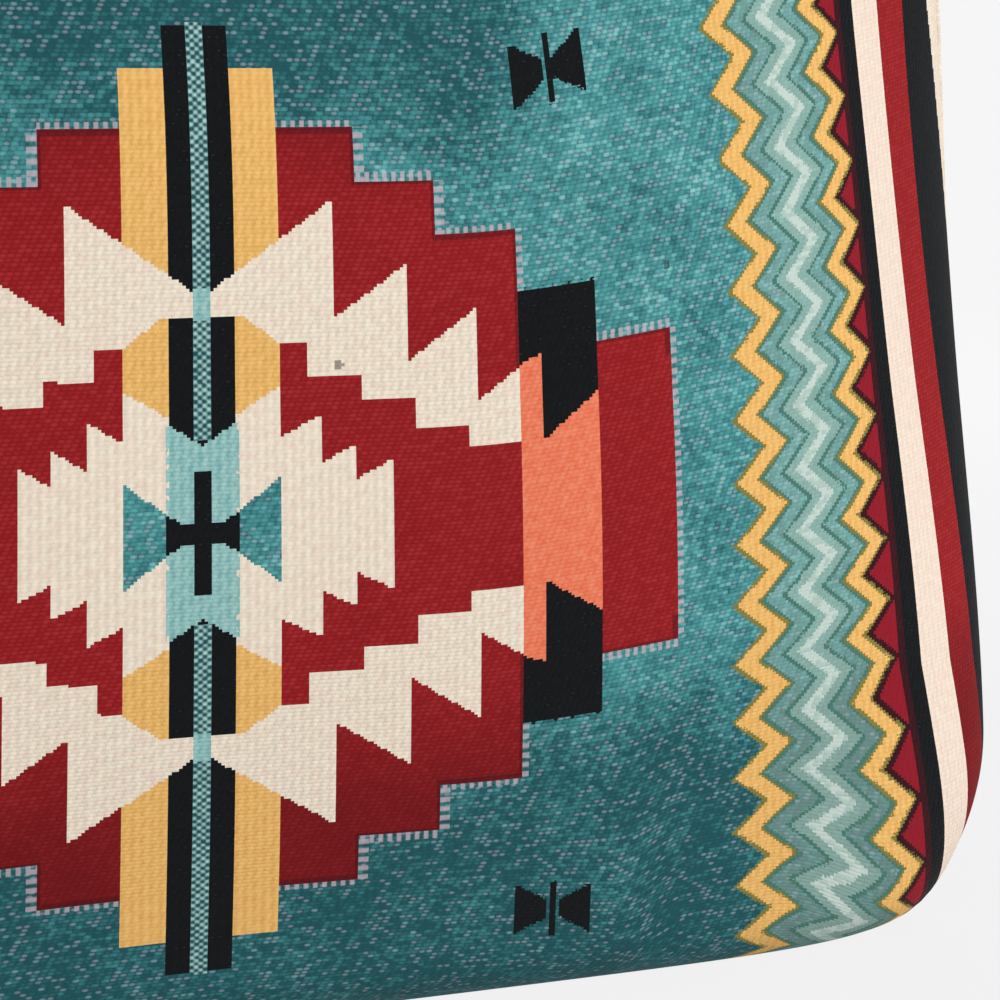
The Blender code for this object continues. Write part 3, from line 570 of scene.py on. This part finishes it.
def cloth_levels(count, turn_count=10):
    turn = FRONT_TURN * (1 - np.cos(np.linspace(0, math.pi / 2, turn_count)))
    return np.concatenate([turn, np.linspace(FRONT_TURN, BAG_HEIGHT, count)[1:]])


def panel_grid(columns, count, inset=0.0):
    """Points of the front's face: ratio sin(phi) across, levels up."""
    z = cloth_levels(count)[:, None] * np.ones(columns + 1)
    ratio = np.sin(np.linspace(-math.pi / 2, math.pi / 2, columns + 1))[None] * np.ones_like(z)
    x = ratio * (half_width(z) - inset)
    y = -np.maximum(depth_at(ratio, z, inset) - inset, 0)
    return x, y, z


def pattern_places(x, y, z):
    """Where each point lies on the flat cloth, in millimetres: arc lengths, with the drawing-in of the sewn bag."""
    middle = x.shape[1] // 2
    across = np.hypot(np.diff(x, axis=1), np.diff(y, axis=1)) / MM
    s = np.concatenate([np.zeros((len(x), 1)), np.cumsum(across, 1)], 1)
    s -= s[:, middle : middle + 1]
    rise = np.hypot(np.diff(z[:, middle]), np.diff(y[:, middle])) / MM
    up = np.concatenate([[0], np.cumsum(rise)])[:, None] * np.ones_like(s)
    high = z / MM
    u = s * (1 + 0.087 * (high - 100) / 100) + 0.3
    v = up - 2.222 * np.abs(s / 150) ** 3 * np.clip(high / 200, 0, 1) + 12.105 * (s / 150) ** 2 * (1 - high / 200)
    drawn = 0.9 * np.log1p(np.exp((np.abs(u) - 44) / 6))
    flat = np.interp(v, (33, 45, 70), (-0.4, 0.3, 1.0))
    flat = flat + (1 - flat) * ease((np.abs(u) - 62) / 12)
    low, outer = np.clip(67 - v, 0, 40), ease((np.abs(u) - 88) / 24)
    u = u - np.sign(u) * outer * (0.14 * low + 0.018 * np.clip(v - 110, 0, 60))
    return np.stack([u, v - 93.6 - drawn * flat + 0.23 * low * outer, up], -1)


def panels():
    columns, count = 216, 158
    x, y, z = panel_grid(columns, count)
    cloth = pattern_places(x, y, z)
    seam = 0.1 * MM
    for name, side, node in (("front_cloth", 1, "front_panel"), ("back_cloth", -1, "back_panel")):
        depth = np.minimum(y - softness(x * side, z), -seam)
        points = np.stack([x * side, depth * side, z], -1)
        item = mesh_object(name, points, grid_faces(*z.shape), jacquard(f"{name}_jacquard"), cloth)
        wall = item.modifiers.new("wall", "SOLIDIFY")
        wall.thickness = CLOTH
        wall.offset = -1
        belongs(item, "bag", "jacquard", node)


def loop_points(height, count, inset):
    """One level right round: the front from left to right and back along the back."""
    ratio = np.sin(np.linspace(-math.pi / 2, math.pi / 2, count + 1))
    level = np.full_like(ratio, height)
    x = ratio * (half_width(level) - inset)
    depth = np.maximum(depth_at(ratio, level, inset) - inset, 0)
    front = np.stack([x, -depth, level], 1)
    return np.concatenate([front[:-1], (front[::-1] * (1, -1, 1))[:-1]])


def lining():
    levels = np.concatenate([[4 * MM, 6 * MM], np.linspace(12 * MM, 210 * MM, 40)])
    rings = np.stack([loop_points(z, 60, 2.3 * MM) for z in levels])
    floor = [tuple(range(rings.shape[1]))[::-1]]
    finish = plain_weave("lining_cotton", colour(52, 44, 38), colour(84, 74, 64), 0.5)
    item = mesh_object("lining_cloth", rings, grid_faces(*rings.shape[:2], closed_columns=True), finish, caps=floor)
    wall = item.modifiers.new("wall", "SOLIDIFY")
    wall.thickness = 0.6 * MM
    wall.offset = -1
    belongs(item, "bag", "lining_cloth", "lining")


def base():
    """The base panel: rings from the middle to its edge, then a rounded rim and the upper face."""
    outline = loop_points(0.0, 60, 0.0)[:, :2]
    half = np.abs(outline).max(0)
    outline = outline * (half - 0.9 * MM) / half
    share = [0.02, 0.3, 0.6, 0.85, 0.96, 0.995, 1, 1, 0.995, 0.96, 0.6, 0.02]
    height = [0.0, 0.0, 0.0, 0.0, 0.0, 0.05, 0.3, 1.1, 1.35, 1.4, 1.4, 1.4]
    rings = np.stack([np.column_stack([outline * s, np.full(len(outline), h * MM)]) for s, h in zip(share, height)])
    count = len(outline)
    first, last = tuple(range(count))[::-1], tuple(range(count * 11, count * 12))
    finish = plain_weave("base_canvas", colour(18, 18, 20), colour(48, 48, 52), 0.9)
    item = mesh_object("base_cloth", rings, grid_faces(12, count, closed_columns=True), finish, caps=(first, last))
    belongs(item, "bag", "base_cloth", "base_panel")
    NODES["base_board"].data.materials.clear()
    NODES["base_board"].data.materials.append(fibre_board("pressed_board"))


# Zip


def along_x(name, outline, start, end, steps, finish):
    """A straight length: an outline of depth and height carried along X."""
    outline = np.array(outline)
    x = np.linspace(start, end, steps)
    points = np.stack([np.column_stack([np.full(len(outline), at), outline]) for at in x])
    run = np.concatenate([[0], np.cumsum(np.hypot(*np.diff(outline, axis=0).T))])
    cloth = np.stack([np.broadcast_to(x[:, None], points.shape[:2]) / MM, np.broadcast_to(run, points.shape[:2]) / MM, 0 * points[..., 0]], -1)
    count = len(outline)
    caps = (tuple(range(count))[::-1], tuple(range(count * (steps - 1), count * steps)))
    return mesh_object(name, points, grid_faces(steps, count, closed_columns=True), finish, cloth, caps)


def zip_tapes():
    """Each tape: flat towards the teeth, then turned down and sewn inside the panel, with a rounded bend."""
    wall = ZIP_MOUTH - 1.15 * 1.4 * MM - GAP
    bend = np.linspace(0, math.pi / 2, 5)
    for name, side in (("front", -1), ("back", 1)):
        top = [(ROW_GAP, TAPE_TOP - 0.2 * MM), (ROW_GAP + 0.2 * MM, TAPE_TOP)]
        outer = [(wall - 1 * MM + 1 * MM * math.sin(t), TAPE_TOP - 1 * MM + 1 * MM * math.cos(t)) for t in bend]
        low = [(wall, TAPE_TOP - TAPE_LEG), (wall - TAPE, TAPE_TOP - TAPE_LEG)]
        inner = [(wall - TAPE, TAPE_TOP - TAPE - 0.4 * MM), (wall - TAPE - 0.4 * MM, TAPE_TOP - TAPE), (ROW_GAP, TAPE_TOP - TAPE)]
        outline = [(side * y, z) for y, z in (*top, *outer, *low, *inner)]
        outline = outline[::-1] if side > 0 else outline
        finish = plain_weave(f"tape_{name}_weave", colour(20, 20, 23), colour(52, 52, 58), 0.6)
        item = along_x(f"tape_{name}", outline, -MOUTH_END, MOUTH_END, 60, finish)
        belongs(item, "bag", "zip_tape", f"zip_tape_{name}")


def tube(path, radius, sides=8, closed=False, flat=None):
    """A round tube along a path: at each point a circle square to the path, kept from twisting by a fixed side."""
    path = np.asarray(path, float)
    if closed:
        ahead = np.roll(path, -1, 0) - np.roll(path, 1, 0)
    else:
        ahead = np.gradient(path, axis=0)
    ahead /= np.linalg.norm(ahead, axis=1, keepdims=True)
    flat = np.asarray(flat if flat is not None else (0, 0, 1), float)
    one = np.cross(ahead, flat)
    one /= np.linalg.norm(one, axis=1, keepdims=True)
    two = np.cross(ahead, one)
    angle = np.linspace(0, 2 * math.pi, sides, endpoint=False)
    ring = np.cos(angle)[None, :, None] * one[:, None] + np.sin(angle)[None, :, None] * two[:, None]
    return path[:, None] + radius * ring


def zip_coils():
    """Each row of teeth is one coil: a flattened helix along X, whose loops reach towards the other row."""
    pitch, sides = 1.35 * MM, 6
    for name, side, shift in (("front", -1, 0.0), ("back", 1, 0.5)):
        turns = int(2 * COIL_END / pitch)
        t = np.linspace(0, turns, turns * 12 + 1)
        angle = 2 * math.pi * (t + shift)
        middle, half = (0.45 * MM + ROW_GAP + COIL_WIDTH) / 2, (ROW_GAP + COIL_WIDTH - 0.45 * MM) / 2
        x = -COIL_END + pitch * t
        y = side * (middle - (half - 0.28 * MM) * np.cos(angle))
        z = TAPE_TOP + GAP + COIL_HEIGHT / 2 + (COIL_HEIGHT / 2 - 0.28 * MM) * np.sin(angle)
        points = tube(np.stack([x, y, z], 1), 0.28 * MM, sides, flat=(1, 0.01, 0))
        caps = (tuple(range(sides))[::-1], tuple(range(len(t) * sides - sides, len(t) * sides)))
        item = mesh_object(f"coil_{name}", points, grid_faces(len(t), sides, closed_columns=True), nylon(f"coil_{name}_nylon"), caps=caps)
        belongs(item, "bag", "zip_coil", f"zip_coil_{name}")


def metal_nodes():
    names = ("zip_top_stop_front", "zip_top_stop_back", "zip_bottom_stop", "zip_slider", "zip_puller")
    for name in names:
        mesh = NODES[name].data
        mesh.materials.clear()
        mesh.materials.append(brass(f"{name}_brass"))


# Strap, tabs and rings


def spline(points, step):
    """Evenly spaced points on a smooth curve through the given points, with Catmull-Rom pieces."""
    points = np.array(points, float)
    padded = np.concatenate([[2 * points[0] - points[1]], points, [2 * points[-1] - points[-2]]])
    u = np.linspace(0, 1, 24, endpoint=False)[None, :, None]
    p0, p1, p2, p3 = (padded[k : k + len(points) - 1, None] for k in range(4))
    fine = 0.5 * (2 * p1 + (p2 - p0) * u + (2 * p0 - 5 * p1 + 4 * p2 - p3) * u**2 + (3 * p1 - p0 - 3 * p2 + p3) * u**3)
    fine = np.concatenate([fine.reshape(-1, points.shape[1]), points[-1:]])
    run = np.concatenate([[0], np.cumsum(np.linalg.norm(np.diff(fine[:, :2], axis=0), axis=1))])
    even = np.linspace(0, run[-1], max(2, int(round(run[-1] / step)) + 1))
    return np.stack([np.interp(even, run, fine[:, j]) for j in range(fine.shape[1])], 1)


def turn_about(centre, start_deg, end_deg, radius, count=17):
    angles = np.radians(np.linspace(start_deg, end_deg, count))
    return [(centre[0] + radius * math.cos(a), centre[1] + radius * math.sin(a)) for a in angles]


def at_x(path, x):
    return [(x, y, z) for y, z in path]


def ribbon(name, centres, across, thickness, width, finish):
    """Webbing: a rounded flat section carried along a path, with its width laid along `across`."""
    centres, across = np.array(centres, float), np.array(across, float)
    keep = np.concatenate([[True], np.linalg.norm(np.diff(centres, axis=0), axis=1) > 0.3 * MM])
    centres, across = centres[keep], across[keep]
    ahead = np.gradient(centres, axis=0)
    ahead /= np.linalg.norm(ahead, axis=1, keepdims=True)
    across = across - (across * ahead).sum(1, keepdims=True) * ahead
    across /= np.linalg.norm(across, axis=1, keepdims=True)
    normal = np.cross(ahead, across)
    half, thick = width / 2, thickness / 2
    rim = 0.55 * thickness
    upper = [(1, 0.0), (1, 0.45), (1 - 0.35 * rim / half, 0.86), (1 - rim / half, 1.0), (0.5, 1.0), (0, 1.0), (-0.5, 1.0),
             (-1 + rim / half, 1.0), (-1 + 0.35 * rim / half, 0.86), (-1, 0.45)]
    section = np.array(upper + [(-s, -t) for s, t in upper])
    points = centres[:, None] + section[None, :, :1] * half * across[:, None] + section[None, :, 1:] * thick * normal[:, None]
    run = np.concatenate([[0], np.cumsum(np.linalg.norm(np.diff(centres, axis=0), axis=1))]) / MM
    shape = points.shape[:2]
    cloth = np.stack([np.broadcast_to(run[:, None], shape), np.broadcast_to(section[None, :, 0] * half / MM, shape), np.zeros(shape)], -1)
    count = len(section)
    last = count * (len(centres) - 1)
    caps = (tuple(range(count))[::-1], tuple(range(last, last + count)))
    return mesh_object(name, points, grid_faces(*shape, closed_columns=True), finish, cloth, caps)


UPPER_BAR = (0.0, BAG_HEIGHT + 8 * MM)
LOWER_BAR = (RING_PITCH * math.cos(RING_FALL), UPPER_BAR[1] - RING_PITCH * math.sin(RING_FALL))
LOOP_RADIUS = RING_WIRE + GAP + STRAP_THICKNESS / 2
PLY = STRAP_THICKNESS + GAP
STRAP_LINE = FALL[-1][0] * MM
BAR_RADIUS = SLIDE_WIRE + GAP + STRAP_THICKNESS / 2
SLIDE_DEPTH = STRAP_LINE + BAR_RADIUS
STEP = 2.5 * MM
WEBBING_TONE, WEBBING_LIGHT = colour(20, 21, 24), colour(58, 60, 66)


def fall_from_ring():
    """The strap's end folded round the ring's lower bar, in depth and height: free end, turn, and the way down."""
    fall_points = [(y * MM, z * MM) for y, z in FALL]
    start = fall_points[0]
    way = math.atan2(start[1] - LOWER_BAR[1], start[0] - LOWER_BAR[0])
    leave = math.degrees(way + math.asin(LOOP_RADIUS / math.dist(LOWER_BAR, start)))
    turn = turn_about(LOWER_BAR, leave + 90, leave + 270, LOOP_RADIUS)
    fall = spline([turn[-1], *fall_points], STEP)
    run = np.concatenate([[0], np.cumsum(np.linalg.norm(np.diff(fall, axis=0), axis=1))])
    ahead = np.gradient(fall, run, axis=0)
    outside = fall + PLY * np.stack([-ahead[:, 1], ahead[:, 0]], 1)
    back = np.linspace(SEWN_END, 0.5 * SEWN_END, 6)
    lead = [(np.interp(s, run, outside[:, 0]), np.interp(s, run, outside[:, 1])) for s in back]
    ease_in = spline([lead[-2], lead[-1], turn[0], turn[1]], STEP)
    keep = [tuple(p) for p in ease_in if math.dist(p, lead[-1]) > 1 * MM and math.dist(p, turn[0]) > 1 * MM]
    between = [p for p in keep if min(lead[-1][1], turn[0][1]) < p[1] < max(lead[-1][1], turn[0][1])]
    return [*lead, *between, *turn, *[tuple(p) for p in fall[1:]]]


def strap_pieces():
    fall = fall_from_ring()
    near = STRAP_LINE + PLY
    bar = (SLIDE_DEPTH, SLIDE_BARS[0])
    wrap = turn_about(bar, 180, 360, BAR_RADIUS)
    up = spline([wrap[-1], (SLIDE_DEPTH + 0.45 * BAR_RADIUS, bar[1] + 4 * MM), (near, bar[1] + 8 * MM), (near, bar[1] + 0.9 * SEWN_END)], STEP)
    down = spline([fall[-1], (STRAP_LINE, bar[1] + 6 * MM), wrap[0]], STEP)
    short = at_x([*fall[:-1], *map(tuple, down[:-1]), *wrap, *map(tuple, up[1:])], -TAB_PLACE)
    finish = webbing("short_webbing", WEBBING_TONE, WEBBING_LIGHT)
    item = ribbon("short_strap", short, [(1, 0, 0)] * len(short), STRAP_THICKNESS, STRAP_WIDTH, finish)
    belongs(item, None, "webbing", "strap_short")
    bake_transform(item)

    middle, outer = (SLIDE_DEPTH, SLIDE_BARS[1]), SLIDE_DEPTH + BAR_RADIUS
    tail = spline([(near, TAIL_LOW), (near, TAIL_LOW + 18 * MM), (near, SLIDE_BARS[2] - 12 * MM), (near + 0.8 * MM, SLIDE_BARS[2] - 7 * MM),
                   (outer, SLIDE_BARS[2] - MM), (outer, SLIDE_BARS[2] + 4 * MM), (outer, SLIDE_BARS[1])], STEP)
    round_bar = turn_about(middle, 0, 180, BAR_RADIUS)
    landing = [(y * MM, z * MM) for y, z in LANDING]
    drop = spline([round_bar[-1], (STRAP_LINE, SLIDE_BARS[2]), (STRAP_LINE, 55 * MM), *landing], STEP)
    left = at_x([*map(tuple, tail[:-1]), *round_bar, *map(tuple, drop[1:-1])], -TAB_PLACE)
    way = spline([(x * MM, y * MM, turn) for x, y, turn in FLOOR_WAY], 3 * MM)
    turn = np.radians(way[:, 2])
    height = FLOOR_CLEARANCE + STRAP_WIDTH / 2 * np.sin(turn) + STRAP_THICKNESS / 2 * np.cos(turn)
    ground = np.stack([way[:, 0], way[:, 1], height], 1)
    ahead = np.gradient(ground[:, :2], axis=0)
    ahead /= np.linalg.norm(ahead, axis=1, keepdims=True)
    level = np.stack([ahead[:, 1], -ahead[:, 0], np.zeros(len(ahead))], 1)
    across = level * np.cos(turn)[:, None] + np.array([0, 0, 1]) * np.sin(turn)[:, None]
    climb = spline([landing[-1], *landing[-2::-1], (STRAP_LINE, 60 * MM), (STRAP_LINE, 90 * MM), *[(y * MM, z * MM) for y, z in FALL[::-1]]], STEP)
    join = [p for p in map(tuple, climb[1:]) if p[1] < 116 * MM]
    right = at_x([*join, *fall[::-1]], TAB_PLACE)
    centres = [*left, *map(tuple, ground), *right]
    widths = [*[(1, 0, 0)] * len(left), *map(tuple, across), *[(-1, 0, 0)] * len(right)]
    finish = webbing("long_webbing", WEBBING_TONE, WEBBING_LIGHT)
    item = ribbon("long_strap", centres, widths, STRAP_THICKNESS, STRAP_WIDTH, finish)
    belongs(item, None, "webbing", "strap_long")
    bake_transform(item)


def tabs():
    for name, side in (("left", -1), ("right", 1)):
        radius, ply = RING_WIRE + GAP + TAB_CLOTH / 2, (TAB_CLOTH + GAP) / 2
        top, low, neck = UPPER_BAR[1], BAG_HEIGHT - TAB_TAIL, BAG_HEIGHT + MM
        half = [(ply, low), (ply, (low + neck) / 2), (ply, neck), (ply + 0.6 * MM, neck + 2.2 * MM)]
        rising = [(-y, z) for y, z in half]
        loop = turn_about((0, top), 200, -20, radius)
        path = [*map(tuple, spline([*rising, loop[0]], STEP)[:-1]), *loop, *map(tuple, spline([loop[-1], *half[::-1]], STEP)[1:])]
        centres = at_x(path, side * TAB_PLACE)
        item = ribbon(f"{name}_tab", centres, [(1, 0, 0)] * len(centres), TAB_CLOTH, STRAP_WIDTH, webbing(f"{name}_tab_webbing", WEBBING_TONE, WEBBING_LIGHT))
        belongs(item, "bag", "webbing", f"strap_tab_{name}")


def rectangle_path(half_x, half_y, corner, count=9):
    """A rectangle with round corners, anticlockwise, in the XY plane."""
    points = []
    for sx, sy, first in ((1, 1, 0), (-1, 1, 90), (-1, -1, 180), (1, -1, 270)):
        for a in np.radians(np.linspace(first, first + 90, count)):
            points.append((sx * (half_x - corner) + corner * math.cos(a), sy * (half_y - corner) + corner * math.sin(a), 0))
    return np.array(points)


def wire_ring(name, path, radius, finish, sides=20):
    points = tube(path, radius, sides, closed=True, flat=np.cross(path[10] - path[0], path[20] - path[0]))
    return mesh_object(name, points, grid_faces(len(path), sides, True, True), finish)


def rings():
    for name, side in (("left", -1), ("right", 1)):
        path = rectangle_path(RING_INNER_WIDTH / 2 + RING_WIRE, RING_PITCH / 2, 2.2 * MM)
        path[:, 1] += RING_PITCH / 2
        x, y = path[:, 0], path[:, 1]
        path = np.stack([x + side * TAB_PLACE, UPPER_BAR[0] + y * math.cos(RING_FALL), UPPER_BAR[1] - y * math.sin(RING_FALL)], 1)
        item = wire_ring(f"{name}_ring_wire", path, RING_WIRE, brass(f"{name}_ring_brass"))
        belongs(item, f"{name}_ring", "fitting_metal", f"ring_{name}")


def slide_and_keeper():
    half = (SLIDE_BARS[0] - SLIDE_BARS[2]) / 2
    path = rectangle_path(RING_INNER_WIDTH / 2 + SLIDE_WIRE, half, 1.9 * MM)
    path = np.stack([path[:, 0] - TAB_PLACE, np.full(len(path), SLIDE_DEPTH), path[:, 1] + SLIDE_BARS[2] + half], 1)
    finish = brass("slide_brass")
    item = wire_ring("slide_frame", path, SLIDE_WIRE, finish)
    belongs(item, "bag", "fitting_metal", "strap_slide")
    reach = RING_INNER_WIDTH / 2 + SLIDE_WIRE
    bar = np.stack([np.linspace(-reach, reach, 9) - TAB_PLACE, np.full(9, SLIDE_DEPTH), np.full(9, SLIDE_BARS[1])], 1)
    caps = (tuple(range(20))[::-1], tuple(range(160, 180)))
    item = mesh_object("slide_middle_bar", tube(bar, SLIDE_WIRE, 20), grid_faces(9, 20, closed_columns=True), finish, caps=caps)
    belongs(item, "bag", "fitting_metal", "strap_slide")

    # Keeper: a rounded band carried round the two plies
    plies = 2 * STRAP_THICKNESS + GAP
    wide, deep = STRAP_WIDTH / 2 + GAP + KEEPER_WALL / 2, plies / 2 + GAP + KEEPER_WALL / 2
    round_way = rectangle_path(wide, deep, 1.3 * MM, 7)
    normal = np.roll(round_way, -1, 0) - np.roll(round_way, 1, 0)
    normal = np.stack([normal[:, 1], -normal[:, 0], np.zeros(len(normal))], 1)
    normal /= np.linalg.norm(normal, axis=1, keepdims=True)
    rim, tall = KEEPER_WALL / 2, KEEPER_HEIGHT / 2
    section = [(1, -0.86), (1, 0.86), (0.7, 0.97), (0, 1), (-0.7, 0.97), (-1, 0.86), (-1, -0.86), (-0.7, -0.97), (0, -1), (0.7, -0.97)]
    section = np.array(section)
    points = round_way[:, None] + section[None, :, :1] * rim * normal[:, None] + section[None, :, 1:] * tall * np.array([0, 0, 1])
    points = points + np.array([-TAB_PLACE, STRAP_LINE + PLY / 2, KEEPER_MIDDLE])
    faces = grid_faces(*points.shape[:2], True, True)[:, ::-1]
    item = mesh_object("keeper_band", points, faces, leather("keeper_leather"))
    belongs(item, "keeper", "leather", "strap_keeper")


# Stitching


def stitches(name, lines, body, tone, length=2.6 * MM, gap=0.9 * MM, radius=0.28 * MM):
    """Sewing thread: short rounded bars laid end to end along lines of points and normals, sunk into the cloth."""
    bars = []
    for line, normal in lines:
        line, normal = np.asarray(line, float), np.asarray(normal, float)
        run = np.concatenate([[0], np.cumsum(np.linalg.norm(np.diff(line, axis=0), axis=1))])
        start = np.arange(gap, run[-1] - length, length + gap)
        for s in start:
            t = s + length * np.array([0.0, 0.12, 0.5, 0.88, 1.0])
            at = np.stack([np.interp(t, run, line[:, j]) for j in range(3)], 1)
            out = np.stack([np.interp(t, run, normal[:, j]) for j in range(3)], 1)
            out /= np.linalg.norm(out, axis=1, keepdims=True)
            lift = np.array([-1.2, 0.1, 0.45, 0.1, -1.2])[:, None] * radius
            at = at + out * lift
            ahead = np.gradient(at, axis=0)
            ahead /= np.linalg.norm(ahead, axis=1, keepdims=True)
            side = np.cross(ahead, out)
            side /= np.linalg.norm(side, axis=1, keepdims=True)
            upward = np.cross(side, ahead)
            angle = np.linspace(0, 2 * math.pi, 6, endpoint=False)
            size = radius * np.array([0.5, 0.9, 1.0, 0.9, 0.5])[:, None, None]
            bars.append(at[:, None] + size * (np.cos(angle)[None, :, None] * side[:, None] + np.sin(angle)[None, :, None] * upward[:, None]))
    count = len(bars)
    points = np.concatenate([b.reshape(-1, 3) for b in bars])
    one = grid_faces(5, 6, closed_columns=True)[:, ::-1]
    faces = (one[None] + 30 * np.arange(count)[:, None, None]).reshape(-1, 4)
    caps = [tuple(30 * n + k for k in range(6)) for n in range(count)]
    caps += [tuple(30 * n + 24 + k for k in range(6))[::-1] for n in range(count)]
    item = mesh_object(name, points, faces, thread(f"{name}_thread", tone), caps=caps)
    return item


def surface_line(x, z, side):
    """Points and outward normals on the bag's face: side -1 is the front."""
    x, z = np.asarray(x, float), np.asarray(z, float)
    step = 0.2 * MM

    def face(px, pz):
        width = half_width(pz)
        return depth_at(px / width, pz) + softness(px * -side, pz)

    y = face(x, z)
    slope_x = (face(x + step, z) - face(x - step, z)) / (2 * step)
    slope_z = (face(x, z + step) - face(x, z - step)) / (2 * step)
    normal = np.stack([-slope_x, np.ones_like(x), -slope_z], 1)
    normal /= np.linalg.norm(normal, axis=1, keepdims=True)
    flip = np.array([1, side, 1])
    return np.stack([x, y, z], 1) * flip, normal * flip


def top_stitching():
    for name, side in (("front", -1), ("back", 1)):
        lines = []
        for height in (222.6 * MM, 216.5 * MM):
            x = np.linspace(-127 * MM, 127 * MM, 300)
            lines.append(surface_line(x, np.full_like(x, height), side))
        item = stitches(f"{name}_top_stitches", lines, "bag", colour(30, 40, 44), 2.4 * MM, 0.8 * MM, 0.2 * MM)
        belongs(item, "bag", "jacquard")


def box_seam(centres, outward, start, end):
    """A sewn box with a cross in it on webbing that runs along X-free points: four sides and two diagonals."""
    run = np.concatenate([[0], np.cumsum(np.linalg.norm(np.diff(centres, axis=0), axis=1))])
    half = STRAP_WIDTH / 2 - 3 * MM

    def along(s, x):
        s = np.asarray(s, float)
        at = np.stack([np.interp(s, run, centres[:, j]) for j in range(3)], 1)
        out = np.stack([np.interp(s, run, outward[:, j]) for j in range(3)], 1)
        return at + np.asarray(x)[:, None] * np.array([1, 0, 0]), out

    t = np.linspace(0, 1, 24)
    s = start + (end - start) * t
    lines = [along(s, np.full(24, half)), along(s, np.full(24, -half))]
    lines += [along(np.full(24, start), -half + 2 * half * t), along(np.full(24, end), -half + 2 * half * t)]
    lines += [along(s, -half + 2 * half * t), along(s, half - 2 * half * t)]
    return lines


def strap_stitching():
    fall = np.array(fall_from_ring())
    lead = fall[: len(fall) // 3]
    for name, x, body in (("left", -TAB_PLACE, "left_ring"), ("right", TAB_PLACE, "right_ring")):
        run = np.concatenate([[0], np.cumsum(np.linalg.norm(np.diff(lead, axis=0), axis=1))])
        ahead = np.gradient(lead, run, axis=0)
        outward = np.stack([np.zeros(len(lead)), ahead[:, 1], -ahead[:, 0]], 1)
        outward *= np.sign(outward[2, 1])
        centres = np.stack([np.full(len(lead), x), lead[:, 0], lead[:, 1]], 1) + outward * STRAP_THICKNESS / 2
        lines = box_seam(centres, outward, 2 * MM, 12.5 * MM)
        item = stitches(f"{name}_end_stitches", lines, "bag", colour(70, 70, 74), 1.9 * MM, 0.7 * MM, 0.2 * MM)
        belongs(item, None, "webbing")
        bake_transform(item)
    near = STRAP_LINE + PLY + STRAP_THICKNESS / 2
    z = np.linspace(SLIDE_BARS[0] + 9 * MM, SLIDE_BARS[0] + 0.9 * SEWN_END, 20)
    centres = np.stack([np.full(20, -TAB_PLACE), np.full(20, near), z], 1)
    outward = np.tile([0.0, 1.0, 0.0], (20, 1))
    lines = box_seam(centres, outward, 1 * MM, 12 * MM)
    item = stitches("slide_end_stitches", lines, "bag", colour(70, 70, 74), 1.9 * MM, 0.7 * MM, 0.2 * MM)
    belongs(item, "bag", "webbing")


# Floor and light


def floor():
    g = Graph("paper_floor")
    path = g.nodes.new("ShaderNodeLightPath")
    seen = Value(g, path.outputs["Is Camera Ray"])
    seen = seen.most(Value(g, path.outputs["Is Glossy Ray"])).most(Value(g, path.outputs["Is Transmission Ray"]))
    g.finish(colour(168, 168, 170), 0.9, Specular_IOR_Level=0.0)
    (x, y, _), _ = g.place()
    away = (x * x + y * y).maths("SQRT").rise(0.16, 0.75)
    # Painted light fall-off: the floor's seen glow is 0.975 near the bag and greys to 0.92 behind it and far away
    behind = y.rise(0.05, 0.9).most((x * x + y * y).maths("SQRT").rise(0.6, 2.5))
    glow = g.node("ShaderNodeEmission", None, {"Color": g.mix(behind, (0.975, 0.975, 0.975), (0.92, 0.92, 0.92)), "Strength": 1.0})
    share = seen * (0.88 + away * 0.12)
    mixed = g.node("ShaderNodeMixShader", None, {0: share, 1: Value(g, g.shader.outputs[0]), 2: glow})
    g.links.new(mixed.socket, g.nodes["Material Output"].inputs[0])
    reach = 30.0
    points = [(-reach, -reach, 0), (reach, -reach, 0), (reach, reach, 0), (-reach, reach, 0)]
    item = mesh_object("floor", points, [(0, 1, 2, 3)], g.material)


def soft_light(name, place, target, size, power):
    data = bpy.data.lights.new(name, "AREA")
    data.shape = "RECTANGLE"
    data.size, data.size_y = size
    data.energy = power
    item = bpy.data.objects.new(name, data)
    bpy.context.scene.collection.objects.link(item)
    way = Vector(target) - Vector(place)
    item.matrix_world = Matrix.Translation(place) @ way.to_track_quat("-Z", "Y").to_matrix().to_4x4()


def light():
    world = bpy.data.worlds.new("studio")
    bpy.context.scene.world = world
    world.use_nodes = True
    nodes, links = world.node_tree.nodes, world.node_tree.links
    back = nodes["Background"]
    back.inputs["Color"].default_value = (1, 1, 1, 1)
    path = nodes.new("ShaderNodeLightPath")
    either = nodes.new("ShaderNodeMath")
    either.operation = "MAXIMUM"
    links.new(path.outputs["Is Camera Ray"], either.inputs[0])
    links.new(path.outputs["Is Glossy Ray"], either.inputs[1])
    level = nodes.new("ShaderNodeMapRange")
    level.inputs["To Min"].default_value = 0.26
    level.inputs["To Max"].default_value = 0.92
    links.new(either.outputs[0], level.inputs["Value"])
    links.new(level.outputs[0], back.inputs["Strength"])
    soft_light("key", (1.15, -1.25, 0.3), (0, 0, 0.12), (0.9, 0.7), 25)
    soft_light("fill", (-1.1, -1.2, 0.5), (0, 0, 0.1), (1.0, 0.8), 6.5)
    soft_light("back", (0.2, 1.6, 0.9), (0, 0, 0.1), (1.4, 1.0), 12)


panels()
lining()
base()
zip_tapes()
zip_coils()
metal_nodes()
tabs()
rings()
strap_pieces()
slide_and_keeper()
top_stitching()
strap_stitching()
floor()
light()
bpy.context.scene.view_settings.view_transform = "Standard"

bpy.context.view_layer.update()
